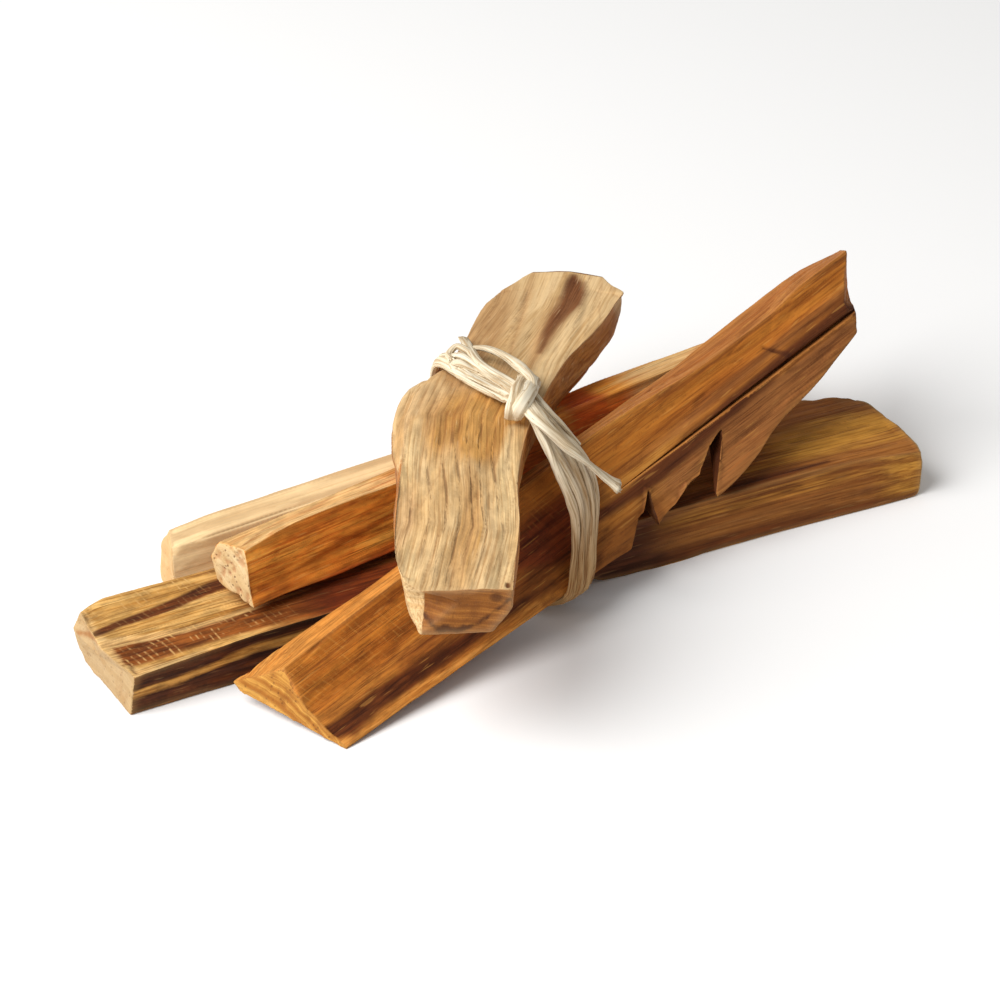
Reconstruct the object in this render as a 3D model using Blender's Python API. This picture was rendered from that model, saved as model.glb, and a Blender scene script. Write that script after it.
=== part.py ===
"""A bundle of five split palo santo sticks, bound crosswise with one raffia tie.

Units are metres and +Z is up. Each stick is a loft between unlike sections: its long edges are
rails, given in the stick's own directions (along, across, up), and every section joins the rails
at one share of their length. The bundle rests on the flat undersides of its two lowest sticks.
"""

import math

import bpy
import numpy as np
from mathutils import Matrix, Vector

MM = 0.001

# Overall design
STATIONS = 34              # sections along each stick
FACETS_PER_SIDE = 3        # facets between two neighbouring rails
WANDER = 0.16 * MM         # how far a split face strays from its rails
UNDERSIDE_HEIGHT = 0.6 * MM    # a face with both rails lower than this is a flat underside
CONTACT_GAP = 0.3 * MM     # room left where two pieces touch
# The waves that a split face strays in, as (share of the wander, radians along the whole stick)
STRAY_WAVES = [(0.5, 9.0), (0.3, 23.0), (0.2, 47.0)]

# The tie: one flat length of raffia, wound four times round the bundle
TIE_TURN = math.radians(13.0)      # direction of the bundle's axis at the tie, in plan
TIE_PLACE = 1.4 * MM               # where the middle of the winding sits on that axis
TIE_CENTRE = (2.0 * MM, 11.0 * MM)   # the middle of the wound bundle, as (sideways, height)
WINDINGS = 4
WINDING_PITCH = 1.25 * MM
STRAND_WIDTH = 1.5 * MM
STRAND_THICKNESS = 0.95 * MM
SPAN_THAT_BOWS = 9.0 * MM          # a free span longer than this bows outward
SPAN_BOW = 0.9 * MM
SPAN_STEPS = 6
STEEPEST_SPAN = 0.85               # a span that faces up or down more than this stays straight
CORNER_STEP = math.radians(32.0)   # the tie turns round a corner in steps of about this
FACET_SLACK = 0.05 * MM            # extra room, because the facets of the tie cut its corners
# How far the windings lean along the axis, as (angle round the tie's centre, millimetres)
TIE_LEAN = [(20.0, 2.6), (45.0, 2.5), (65.0, 2.3), (90.0, 3.1), (130.0, 4.0), (160.0, 3.6),
            (180.0, 2.2), (200.0, -0.4), (235.0, -2.0), (280.0, -1.2), (325.0, 1.8), (350.0, 2.4)]
SHORTEST_STEP = 0.3 * MM
KNOT_PLACE = (3.9, 3.0, 21.3)      # millimetres
KNOT_RADII = (2.6 * MM, 2.1 * MM, 1.3 * MM)
KNOT_TURN = math.radians(73.0)     # direction of the knot's longest radius, in plan
UP = np.array([0.0, 0.0, 1.0])

CURVE_STEPS = 3                    # sections between two neighbouring points of a free strand
STRAND_SIDES = 6
# Loose ends of the tie, as (points in millimetres, width, thickness)
FREE_STRANDS = {
    "bow_outer": ([(4.3, 3.6, 21.3), (6.6, 9.9, 20.9), (6.2, 14.0, 20.9), (4.9, 16.6, 20.9),
                   (2.2, 16.4, 20.8)], 1.5, 0.8),
    "bow_inner": ([(3.8, 3.4, 21.2), (3.6, 9.0, 21.3), (2.7, 12.3, 21.2), (1.8, 16.2, 20.8)], 1.5, 0.8),
    "tail": ([(3.9, 2.1, 21.2), (3.1, -0.9, 21.6), (3.2, -3.6, 21.0), (4.4, -5.7, 19.3),
              (6.2, -7.1, 17.4), (8.2, -8.0, 15.3), (10.0, -9.1, 13.6)], 1.9, 0.8),
}

# Every stick: where it starts, its heading and climb in degrees, its colour, and its rails.
# A rail lists (along, across, up) in millimetres, from the start to the far end of the stick.
STICKS = {
    "striped_stick": {
        "start": (-48.9, -6.9, 0.0),
        "heading": 0.0,
        "climb": 0.0,
        "colour": (0.56, 0.31, 0.11),
        "seed": 3,
        "rails": {
            "near_bottom": [(0.7, 0, 0), (13, 0.4, 0), (41, 0.2, 0), (45.5, 0.2, 1.6),
                            (55, 0.2, 1.6), (59.5, 0.2, 0), (80, 0.3, 0), (101, -0.2, 0)],
            "near_top": [(1.5, 0.4, 4.4), (16.6, 1.2, 5.1), (50, 1.6, 5.6), (78, 2.2, 6.0),
                         (91, 2.0, 5.9), (101.8, 0.8, 5.4)],
            "inner_top": [(0.2, 6.4, 5.0), (18, 6.8, 5.5), (50, 7.4, 6.0), (80, 8, 6.3),
                          (102.2, 7, 5.9)],
            "far_top": [(0.9, 14.2, 5.5), (2.8, 14.9, 5.9), (12, 14.9, 6.0), (50, 15.2, 6.2),
                        (80, 16.2, 6.2), (96.4, 17.2, 6.2), (98.8, 16.0, 6.2), (101.7, 14.7, 6.0)],
            "far_side": [(-0.1, 14.1, 3.7), (6, 14.9, 3.4), (50, 15.3, 3.4), (96, 16.6, 3.2),
                         (101.3, 15.0, 3.2)],
            "far_bottom": [(0.5, 13.6, 0), (38.5, 14.5, 0), (43, 14.6, 1.6), (52.5, 14.6, 1.6),
                           (57, 14.7, 0), (100, 14.9, 0)],
        },
    },
    "pale_stick": {
        "start": (-35.3, 10.9, 0.0),
        "heading": 5.5,
        "climb": 0.0,
        "colour": (0.72, 0.47, 0.23),
        "seed": 5,
        "rails": {
            "near_bottom": [(0.6, -1.4, 0), (24.5, -1.2, 0), (29, -1.2, 1.6), (38, -1.2, 1.6),
                            (42.5, -1.2, 0), (83, -1.0, 0)],
            "near_side": [(0, 0.0, 4.2), (30, -0.2, 4.4), (83, 0.2, 4.0)],
            "near_top": [(0.4, 1.2, 7.1), (6, 0.5, 7.4), (40, 0.8, 7.5), (83, 1.2, 7.0)],
            "crest": [(1.6, 3.6, 8.0), (8, 3.6, 8.5), (30, 3.8, 8.5), (60, 3.8, 8.2), (82, 4.2, 7.6)],
            "far_side": [(2.2, 6.8, 4.6), (33, 5.9, 5.0), (60, 6.6, 4.6), (81.5, 6.8, 4.4)],
            "far_bottom": [(1.8, 6.6, 0), (24.5, 6.0, 0), (29, 5.8, 1.6), (38, 5.8, 1.6), (42.5, 6.0, 0),
                           (81, 6.6, 0)],
        },
    },
    "orange_stick": {
        "start": (-31.7, -2.9, 6.35),
        "heading": 11.2,
        "climb": 1.5,
        "colour": (0.50, 0.24, 0.07),
        "seed": 8,
        "rails": {
            "near_bottom": [(0, 0, 0), (3.2, 0, 0.1), (11.4, -0.3, -0.2), (18.2, -0.4, -0.2),
                            (50, 0.2, 0), (78, 0.6, 0.4)],
            "near_top": [(0.9, 2.4, 6.1), (8.6, 2.6, 6.9), (16.3, 2.6, 6.7), (21.3, 2.6, 6.4),
                         (50, 2.4, 6.2), (78, 2.2, 5.8)],
            "far_top": [(0.1, 6.3, 5.8), (8.3, 6.1, 5.9), (30, 6.3, 5.9), (50, 6.5, 5.9),
                        (68.6, 5.5, 5.9), (78, 5.2, 5.5)],
            "far_side": [(-0.1, 7.8, 3.2), (50, 7.5, 3.0), (77.5, 6.6, 3.0)],
            "far_bottom": [(0, 6.9, 0.2), (50, 6.9, 0.1), (77.5, 6.2, 0.4)],
        },
    },
    "golden_stick": {
        "start": (-30.7, -23.5, 0.0),
        "heading": 17.7,
        "climb": 10.6,
        "colour": (0.58, 0.31, 0.10),
        "seed": 13,
        "rails": {
            "near_bottom": [(0, 0, 0.05), (30, 0.3, -1.8), (45, 0.2, -2.7), (59, -0.6, -3.9),
                            (66.4, 0.2, -3.2), (70.6, 1.1, -2.3), (79, 1.8, -1.5),
                            (83, 2.4, -0.9), (88, 3.1, -0.2)],
            "side": [(0.0, 5.4, 2.9), (30, 5.2, 2.2), (60, 4.6, 1.4), (88.8, 5.6, 2.5)],
            "ridge": [(0.9, 9.3, 6.2), (18, 9.3, 6.4), (49, 9.4, 6.4), (57, 9.4, 5.9), (70, 9.1, 5.0),
                      (80, 9.1, 5.0), (85, 9.3, 5.7), (94, 9.2, 6.0)],
            "far_top": [(-1.6, 15.8, 2.7), (6, 13.3, 4.9), (13, 12.7, 5.2), (21, 12.4, 5.3),
                        (45, 12.5, 4.9), (72, 12.9, 4.2), (88, 13.4, 4.2), (95.5, 11.6, 4.2)],
            "far_bottom": [(-1.5, 15.1, 1.7), (6, 12.9, 3.0), (13, 12.3, 3.5), (20, 11.8, 3.6),
                           (30, 11.0, 2.4), (45, 10.6, 0.6), (65, 10.8, -0.8), (94, 10.4, -1.6)],
        },
    },
    "cross_stick": {
        "start": (-14.9, -31.4, 14.0),
        "heading": 53.2,
        "climb": 0.0,
        "colour": (0.72, 0.47, 0.22),
        "seed": 21,
        "rails": {
            "top_right": [(0, 0, 5.4), (9, 1.0, 5.5), (14, 1.5, 5.5), (24, 3.2, 5.5), (33, 3.6, 5.5),
                          (42, 3.0, 5.4), (50, 2.0, 5.4), (56.5, 0.1, 5.4), (62, -1.3, 5.3),
                          (69, -2.3, 5.1)],
            "top_outer": [(-0.4, 2.4, 5.5), (14, 4.9, 5.7), (24, 6.6, 5.7), (33, 7.1, 5.7),
                          (42, 6.4, 5.6), (50, 5.2, 5.6), (62, 2.2, 5.4), (73.0, 0.5, 5.1)],
            "top_middle": [(-1, 5, 5.6), (14, 8.4, 5.8), (33, 10.6, 5.8), (50, 8.4, 5.7),
                           (73.8, 4.6, 5.2)],
            "top_inner": [(-1.9, 9.5, 5.4), (14, 12.2, 5.6), (33, 14.4, 5.7), (50, 12.2, 5.5),
                          (73.1, 9.0, 5.1)],
            "top_left": [(0.2, 11.7, 5.2), (4.4, 13.4, 5.4), (9.8, 14.6, 5.4), (18.4, 15.7, 5.4),
                         (26.3, 16.4, 5.4), (33, 17.4, 5.3), (40.8, 17.1, 5.3), (45.6, 15.8, 5.3),
                         (54.3, 14.2, 5.3), (62, 13.7, 5.2), (68, 12.0, 4.9)],
            "left_side": [(0.5, 11.6, 3.0), (12.1, 15.1, 3.8), (20.8, 16.2, 4.0), (28.6, 18.3, 4.0),
                          (34, 19.2, 4.0), (39.9, 19.5, 4.0), (44.6, 18.7, 4.0), (47.7, 16.1, 4.0),
                          (52, 14.8, 3.8), (60, 14.0, 3.4), (68.4, 12.2, 3.0)],
            "left_bottom": [(-2.0, 9.8, 0.1), (3.0, 12.0, 0.1), (15, 14.2, 0.1), (30, 15.4, 0.1),
                            (42, 15.2, 0.1), (52, 13.4, 0.1), (68, 11.4, 0.5)],
            "right_bottom": [(-0.6, 2.2, 0.3), (10, 2.6, 0.1), (24, 3.9, 0), (33, 4.2, 0), (42, 3.5, 0),
                             (50, 2.2, 0), (60, -0.2, 0.3), (70.5, -1.0, 0.8)],
            "right_side": [(0, 0.1, 3.2), (10, 1.0, 2.6), (24, 3.1, 2.5), (33, 3.5, 2.5),
                           (42, 2.9, 2.4), (50, 1.1, 2.4), (59.5, -1.5, 2.4), (64, -2.2, 2.5),
                           (72, -2.2, 2.6)],
        },
    },
}

# Splits in the golden stick, on its side slope, as (along, across) in millimetres
TEAR_NOTCHES = {
    "long_notch": [(64.2, 3.6), (61.2, 1.7), (58.1, -0.3), (56.5, -3.0), (46.5, -3.0), (49.7, 0.7),
                   (53.0, 1.1), (55.8, 1.7), (58.3, 1.6), (61.6, 3.0)],
    "short_notch": [(51.2, 3.4), (50.2, 2.0), (49.6, 0.6), (48.5, -3.0), (41.0, -3.0), (44.5, 0.4),
                    (47.0, 1.4), (49.0, 2.2)],
}
NOTCH_DEPTH = 4.0 * MM
CRACK_LINE = [(46.0, 4.7, 1.5), (90.0, 4.7, 1.6)]    # the long crack under the ridge, in millimetres
CRACK_WIDTH = 0.65 * MM
CRACK_DEPTH = 1.5 * MM
CRACK_SHAPE = [(0.3, 0.55), (0.72, 1.0), (1.0, 1.0)]    # (share of its length, share of its width)
CUTTER_STANDS_OUT = 1.2 * MM                         # how far the crack's cutter reaches off the slope
SLOPE_OUT = Vector((0.0, -0.707, 0.707))             # away from the side slope, in its directions
SLOPE_FOOT = 3.3                                     # across minus up, anywhere on that slope


def clear_scene():
    for thing in list(bpy.data.objects):
        bpy.data.objects.remove(thing, do_unlink=True)


def collection(name):
    made = bpy.data.collections.new(name)
    bpy.context.scene.collection.children.link(made)
    return made


def principled(name, colour, roughness):
    made = bpy.data.materials.new(name)
    made.use_nodes = True
    shader = made.node_tree.nodes["Principled BSDF"]
    shader.inputs["Base Color"].default_value = (*colour, 1.0)
    shader.inputs["Roughness"].default_value = roughness
    shader.inputs["Metallic"].default_value = 0.0
    return made


def mesh_object(name, points, faces, home, material=None):
    mesh = bpy.data.meshes.new(name)
    mesh.from_pydata([tuple(p) for p in points], [], faces)
    mesh.validate()
    mesh.update()
    made = bpy.data.objects.new(name, mesh)
    home.objects.link(made)
    if material is not None:
        mesh.materials.append(material)
    return made


def rail_point(rail, share):
    """The point at a share of a rail's length, on a smooth curve through the rail's own points."""
    along = rail[0][0] + share * (rail[-1][0] - rail[0][0])
    last = len(rail) - 2
    index = max(0, min(last, sum(1 for p in rail[1:-1] if along >= p[0])))
    before, here = rail[max(index - 1, 0)], rail[index]
    there, after = rail[index + 1], rail[min(index + 2, last + 1)]
    span = there[0] - here[0]
    u = (along - here[0]) / span
    point = [along]
    for axis in (1, 2):
        start_slope = slope_through(before, here, there, axis)
        end_slope = slope_through(here, there, after, axis)
        point.append((2 * u**3 - 3 * u**2 + 1) * here[axis] + (u**3 - 2 * u**2 + u) * span * start_slope
                     + (3 * u**2 - 2 * u**3) * there[axis] + (u**3 - u**2) * span * end_slope)
    return np.array(point) * MM


def slope_through(before, here, after, axis):
    """The rail's slope at a point: level at a crest or an end, so the curve never overshoots."""
    if before is here:
        return (after[axis] - here[axis]) / (after[0] - here[0])
    if after is here:
        return (here[axis] - before[axis]) / (here[0] - before[0])
    rise_in = (here[axis] - before[axis]) / (here[0] - before[0])
    rise_out = (after[axis] - here[axis]) / (after[0] - here[0])
    if rise_in * rise_out <= 0.0:
        return 0.0
    return 2.0 * rise_in * rise_out / (rise_in + rise_out)


def waves(seed):
    """A smooth, repeatable stray along the stick, between about -1 and 1, for each line of facets."""
    random = np.random.default_rng(seed)
    phases = random.uniform(0.0, 2.0 * math.pi, (64, len(STRAY_WAVES)))

    def stray(line, share):
        waves_here = zip(STRAY_WAVES, phases[line % 64])
        return sum(size * math.sin(rate * share + phase) for (size, rate), phase in waves_here)

    return stray


def section(rails, share, stray):
    """The closed outline at one share of the length: the rails with straying facets between them."""
    corners = [rail_point(rail, share) for rail in rails]
    middle = sum(corners) / len(corners)
    outline = []
    for side, corner in enumerate(corners):
        following = corners[(side + 1) % len(corners)]
        for facet in range(FACETS_PER_SIDE):
            point = corner + (following - corner) * (facet / FACETS_PER_SIDE)
            outward = point - middle
            outward[0] = 0.0
            outward /= np.linalg.norm(outward)
            strays = rails_are_free(corner, following) and facet > 0
            amount = WANDER if strays else 0.0
            outline.append(point + outward * amount * stray(side * FACETS_PER_SIDE + facet, share))
    return outline


def rails_are_free(corner, following):
    """Only faces off the ground stray, so the underside a stick rests on stays flat."""
    return max(corner[2], following[2]) > UNDERSIDE_HEIGHT


def loft(name, spec, home, material):
    rails = list(spec["rails"].values())
    stray = waves(spec["seed"])
    rings = [section(rails, i / (STATIONS - 1), stray) for i in range(STATIONS)]
    around = len(rings[0])
    points = [p for ring in rings for p in ring]
    faces = []
    for i in range(STATIONS - 1):
        for j in range(around):
            a, b = i * around + j, i * around + (j + 1) % around
            faces.append((a, b, b + around, a + around))
    for first, flip in ((0, False), ((STATIONS - 1) * around, True)):
        centre = len(points)
        points.append(sum(points[first:first + around]) / around)
        for j in range(around):
            a, b = first + j, first + (j + 1) % around
            faces.append((centre, a, b) if flip else (centre, b, a))
    made = mesh_object(name, points, faces, home, material)
    face_outward(made)
    made.location = Vector(spec["start"]) * MM
    made.rotation_euler = (0.0, -math.radians(spec["climb"]), math.radians(spec["heading"]))
    return made


def face_outward(thing):
    """Turns the faces outward, whichever way round the rails run."""
    mesh = thing.data
    volume = 0.0
    mesh.calc_loop_triangles()
    for triangle in mesh.loop_triangles:
        a, b, c = (mesh.vertices[i].co for i in triangle.vertices)
        volume += a.dot(b.cross(c))
    if volume < 0.0:
        mesh.flip_normals()


def notch_cutter(name, outline, home):
    """A cutter: an outline on the golden stick's side slope, pushed through it both ways."""
    points = []
    for sign in (1.0, -1.0):
        for along, across in outline:
            point = Vector((along, across, across - SLOPE_FOOT)) * MM
            points.append(point + SLOPE_OUT * NOTCH_DEPTH * sign)
    count = len(outline)
    faces = [tuple(range(count)), tuple(range(2 * count - 1, count - 1, -1))]
    for j in range(count):
        k = (j + 1) % count
        faces.append((j, count + j, count + k, k))
    made = mesh_object(name, points, faces, home)
    face_outward(made)
    return made


def crack_cutter(home):
    """A long thin wedge that is widest at its middle and runs out at both ends."""
    start, end = (Vector(p) * MM for p in CRACK_LINE)
    down_slope = Vector((0.0, -0.707, -0.707))
    points = [start]
    for share, full_width in CRACK_SHAPE:
        middle = start.lerp(end, share)
        width = CRACK_WIDTH * full_width
        points += [middle + SLOPE_OUT * CUTTER_STANDS_OUT + down_slope * width,
                   middle + SLOPE_OUT * CUTTER_STANDS_OUT - down_slope * width,
                   middle - SLOPE_OUT * CRACK_DEPTH]
    faces = [(0, 1, 2), (0, 2, 3), (0, 3, 1)]
    for first in (1, 4):
        for j in range(3):
            k = (j + 1) % 3
            faces.append((first + j, first + 3 + j, first + 3 + k, first + k))
    faces.append((9, 8, 7))
    made = mesh_object("crack_cutter", points, faces, home)
    face_outward(made)
    return made


def cut(thing, cutter):
    cutter.matrix_world = thing.matrix_basis
    cutter.hide_render = True
    cutter.display_type = "WIRE"
    modifier = thing.modifiers.new(cutter.name, "BOOLEAN")
    modifier.operation = "DIFFERENCE"
    modifier.solver = "EXACT"
    modifier.object = cutter


def evaluated_points(thing):
    """World points of a finished piece, with its edges as pairs of point numbers."""
    bpy.context.view_layer.update()
    shown = thing.evaluated_get(bpy.context.evaluated_depsgraph_get())
    mesh = shown.to_mesh()
    points = np.array([shown.matrix_world @ v.co for v in mesh.vertices])
    edges = np.array([tuple(e.vertices) for e in mesh.edges])
    shown.to_mesh_clear()
    return points, edges


def tie_axes():
    axis = np.array([math.cos(TIE_TURN), math.sin(TIE_TURN), 0.0])
    sideways = np.array([-math.sin(TIE_TURN), math.cos(TIE_TURN), 0.0])
    return axis, sideways


def tie_lean(flat):
    """How far the winding leans along the axis at (sideways, height) points round the bundle."""
    rise, out = flat[..., 1] - TIE_CENTRE[1], flat[..., 0] - TIE_CENTRE[0]
    angles, leans = zip(*TIE_LEAN)
    return np.interp(np.degrees(np.arctan2(rise, out)), angles, leans, period=360.0) * MM


def slice_points(pieces, place):
    """Where the leaning surface at one place on the tie's axis meets the sticks, seen flat."""
    axis, sideways = tie_axes()
    found = []
    for points, edges in pieces:
        flat = np.column_stack([points @ sideways, points[:, 2]])
        ahead = points @ axis - place - tie_lean(flat)
        a, b = points[edges[:, 0]], points[edges[:, 1]]
        da, db = ahead[edges[:, 0]], ahead[edges[:, 1]]
        crossing = da * db < 0.0
        share = (da[crossing] / (da[crossing] - db[crossing]))[:, None]
        met = a[crossing] + share * (b[crossing] - a[crossing])
        found.append(np.column_stack([met @ sideways, met[:, 2]]))
    return np.vstack(found)


def convex_outline(points):
    """The convex hull of flat points, counter-clockwise."""
    ordered = sorted(map(tuple, points))

    def half(sequence):
        chain = []
        for p in sequence:
            while len(chain) > 1:
                (ax, ay), (bx, by) = chain[-2], chain[-1]
                if (bx - ax) * (p[1] - ay) - (by - ay) * (p[0] - ax) > 1e-9:
                    break
                chain.pop()
            chain.append(p)
        return chain[:-1]

    return np.array(half(ordered) + half(reversed(ordered)))


def wrapped_route(outline, reach):
    """The route round a convex outline at a constant reach, as flat points with outward directions.

    The long free span in front of the bundle bows outward.
    """
    route, count = [], len(outline)
    for i in range(count):
        here, following = outline[i], outline[(i + 1) % count]
        enter, leave = here - outline[i - 1], following - here
        first = math.atan2(-enter[0], enter[1])
        turn = (math.atan2(-leave[0], leave[1]) - first) % (2.0 * math.pi)
        steps = max(1, round(turn / CORNER_STEP))
        for step in range(steps + 1):
            angle = first + turn * step / steps
            out = np.array([math.cos(angle), math.sin(angle)])
            route.append((here + out * reach, out))
        length = np.linalg.norm(leave)
        if length > SPAN_THAT_BOWS and abs(out[1]) < STEEPEST_SPAN:
            faces_front = out[0] < 0.0
            for k in range(1, SPAN_STEPS):
                bow = math.sin(math.pi * k / SPAN_STEPS) if faces_front else 0.0
                middle = here + leave * k / SPAN_STEPS + out * (reach + SPAN_BOW * bow)
                route.append((middle, out))
    kept = [route[0]]
    for place in route[1:]:
        if np.linalg.norm(place[0] - kept[-1][0]) > SHORTEST_STEP:
            kept.append(place)
    if np.linalg.norm(kept[0][0] - kept[-1][0]) < SHORTEST_STEP:
        kept.pop()
    return kept


def strand_profile(width, thickness):
    """The flat oval of a strand, as (across, out) at each of its corners."""
    angles = (2.0 * math.pi * (k + 0.5) / STRAND_SIDES for k in range(STRAND_SIDES))
    return [(math.cos(a) * width / 2.0, math.sin(a) * thickness / 2.0) for a in angles]


def strand_mesh(name, centres, acrosses, outs, sizes, closed, home, material):
    """A flat oval strand along centres; its ends are filled unless it closes on itself."""
    points, faces = [], []
    for centre, across, out, (width, thickness) in zip(centres, acrosses, outs, sizes):
        points += [centre + across * w + out * t for w, t in strand_profile(width, thickness)]
    count = len(centres)
    for i in range(count if closed else count - 1):
        following = (i + 1) % count
        here, there = i * STRAND_SIDES, following * STRAND_SIDES
        for j in range(STRAND_SIDES):
            k = (j + 1) % STRAND_SIDES
            faces.append((here + j, here + k, there + k, there + j))
    if not closed:
        faces.append(tuple(range(STRAND_SIDES - 1, -1, -1)))
        faces.append(tuple(range(len(points) - STRAND_SIDES, len(points))))
    made = mesh_object(name, points, faces, home, material)
    face_outward(made)
    return made


def winding(name, pieces, place, home, material):
    """One turn of the tie, drawn round the sticks where it lies."""
    axis, sideways = tie_axes()
    half = STRAND_WIDTH / 2.0
    outline = convex_outline(np.vstack([slice_points(pieces, place + o) for o in (-half, 0.0, half)]))
    reach = CONTACT_GAP + STRAND_THICKNESS / 2.0 + FACET_SLACK
    route = wrapped_route(outline, reach)
    centres = [axis * (place + tie_lean(flat)) + sideways * flat[0] + UP * flat[1]
               for flat, _ in route]
    outs = [sideways * out[0] + UP * out[1] for _, out in route]
    sizes = [(STRAND_WIDTH, STRAND_THICKNESS)] * len(route)
    return strand_mesh(name, centres, [axis] * len(route), outs, sizes, True, home, material)


def free_strand(name, places, width, thickness, home, material):
    """A loop or tail of the tie: a flat strand along a smooth curve through hand-placed points."""
    knots = [np.array(p) * MM for p in places]
    centres = []
    for i in range(len(knots) - 1):
        before, after = knots[max(i - 1, 0)], knots[min(i + 2, len(knots) - 1)]
        for step in range(CURVE_STEPS):
            u = step / CURVE_STEPS
            centres.append(0.5 * (2 * knots[i] + (knots[i + 1] - before) * u
                                  + (2 * before - 5 * knots[i] + 4 * knots[i + 1] - after) * u**2
                                  + (3 * knots[i] - before - 3 * knots[i + 1] + after) * u**3))
    centres.append(knots[-1])
    outs, acrosses = [], []
    for i, centre in enumerate(centres):
        along = centres[min(i + 1, len(centres) - 1)] - centres[max(i - 1, 0)]
        along /= np.linalg.norm(along)
        across = np.cross(along, UP)
        across /= np.linalg.norm(across)
        acrosses.append(across)
        outs.append(np.cross(across, along))
    sizes = [(width, thickness)] * len(centres)
    return strand_mesh(name, centres, acrosses, outs, sizes, False, home, material)


def knot_lump(home, material):
    """The knot's body, a squashed ball that the windings, loops and tail run into."""
    bpy.ops.mesh.primitive_uv_sphere_add(segments=14, ring_count=8, radius=1.0)
    made = bpy.context.active_object
    made.name = "knot_lump"
    for owner in list(made.users_collection):
        owner.objects.unlink(made)
    home.objects.link(made)
    made.data.transform(Matrix.Diagonal((*KNOT_RADII, 1.0)))
    made.data.transform(Matrix.Rotation(KNOT_TURN, 4, "Z"))
    made.data.transform(Matrix.Translation(Vector(KNOT_PLACE) * MM))
    made.data.materials.append(material)
    return made


def join(thing, other):
    """Unites another piece with this one, and keeps the other only as a guide."""
    other.hide_render = True
    other.display_type = "WIRE"
    modifier = thing.modifiers.new(other.name, "BOOLEAN")
    modifier.operation = "UNION"
    modifier.solver = "EXACT"
    modifier.object = other


def make_tie(sticks, home, cutters):
    """The whole tie as one body: windings, knot, bow loop, stub and tail."""
    material = principled("raffia", (0.72, 0.62, 0.46), 0.8)
    pieces = [evaluated_points(stick) for stick in sticks.values()]
    middle = (WINDINGS - 1) / 2.0
    places = [TIE_PLACE + WINDING_PITCH * (k - middle) for k in range(WINDINGS)]
    tie = winding("tie", pieces, places[0], home, material)
    for k, place in enumerate(places[1:], start=2):
        join(tie, winding(f"winding_{k}", pieces, place, cutters, material))
    join(tie, knot_lump(cutters, material))
    for name, (places, width, thickness) in FREE_STRANDS.items():
        join(tie, free_strand(name, places, width * MM, thickness * MM, cutters, material))
    return tie


def stand_on_origin(pieces, guides):
    """Moves everything so that the bundle's box stands on the origin, centred over it."""
    points = np.vstack([evaluated_points(piece)[0] for piece in pieces])
    low, high = points.min(axis=0), points.max(axis=0)
    shift = Vector((-(low[0] + high[0]) / 2.0, -(low[1] + high[1]) / 2.0, -low[2]))
    base = bpy.data.objects.new("bundle_base", None)
    bpy.context.scene.collection.objects.link(base)
    for thing in pieces + guides:
        thing.parent = base
    base.location = shift


def build():
    clear_scene()
    bundle = collection("palo_santo_bundle")
    guides = collection("cutters_and_guides")
    sticks = {}
    for name, spec in STICKS.items():
        wood = principled(name + "_wood", spec["colour"], 0.7)
        sticks[name] = loft(name, spec, bundle, wood)
    for name, outline in TEAR_NOTCHES.items():
        cut(sticks["golden_stick"], notch_cutter(name, outline, guides))
    cut(sticks["golden_stick"], crack_cutter(guides))
    tie = make_tie(sticks, bundle, guides)
    stand_on_origin(list(sticks.values()) + [tie], list(guides.objects))


build()
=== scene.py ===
"""A tied bundle of split palo santo sticks, dressed for rendering.

Every stick is a fine copy of its CAD solid, carved along the grain in the stick's own directions:
x along the grain, y across it, z up, in millimetres. The carving also leaves soft masks on the mesh,
such as a stripe, a crack or an end face, and the wood's shader lays its colours and figure over them.
The raffia tie is swept from flat, ridged strands along routes found round the sticks.
"""

import itertools
import math

import bmesh
import bpy
import numpy as np
from mathutils import Matrix, Vector
from mathutils.bvhtree import BVHTree


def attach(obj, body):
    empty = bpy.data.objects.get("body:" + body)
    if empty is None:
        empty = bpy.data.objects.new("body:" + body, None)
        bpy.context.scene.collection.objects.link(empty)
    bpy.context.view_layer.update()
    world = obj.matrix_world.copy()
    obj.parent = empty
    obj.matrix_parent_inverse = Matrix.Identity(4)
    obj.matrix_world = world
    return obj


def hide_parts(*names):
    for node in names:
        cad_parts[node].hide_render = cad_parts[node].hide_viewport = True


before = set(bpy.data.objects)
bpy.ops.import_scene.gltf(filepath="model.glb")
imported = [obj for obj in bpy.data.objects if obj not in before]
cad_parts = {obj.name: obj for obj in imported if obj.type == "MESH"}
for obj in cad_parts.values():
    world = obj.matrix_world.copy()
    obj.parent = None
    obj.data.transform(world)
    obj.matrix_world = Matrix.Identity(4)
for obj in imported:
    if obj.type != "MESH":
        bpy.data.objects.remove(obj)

bl_info = {
    "name": "Palo Santo Bundle",
    "version": (1, 0, 0),
    "blender": (4, 5, 0),
    "location": "3D View > Sidebar > Palo Santo",
    "description": "Carves and colours a tied bundle of split palo santo sticks, with its studio",
    "category": "Add Mesh",
}

MM = 0.001

# The part is centred after it is built, so the sticks' own directions start from moved places
CENTRING = (-2.732, -0.562, 0.0)
THICK_ENOUGH = 4.0          # millimetres of wood behind a point that may be carved freely
SWELLING = 1.04             # how far the smoothed wood is swelled back to its size
FACES = (0.45, 0.75)        # how squarely a normal points up or sideways on the top and the sides
ENDS = (0.60, 0.82)         # and how squarely it points along the stick on the end faces
SHARP = 0.14                # millimetres that a fully sharp edge stands out of its surroundings
HALF_ROOT = 0.707           # sine and cosine of 45 degrees, the golden stick's slope
CALMER = (38.0, 58.0)       # the wood's figure grows calmer between these places along a stick


# ---------------------------------------------------------------- settings


def colour_setting(name, description, default=(1.0, 1.0, 1.0)):
    return bpy.props.FloatVectorProperty(name=name, description=description, default=default,
                                         subtype="COLOR", size=3, min=0.0, max=1.0)


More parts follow.
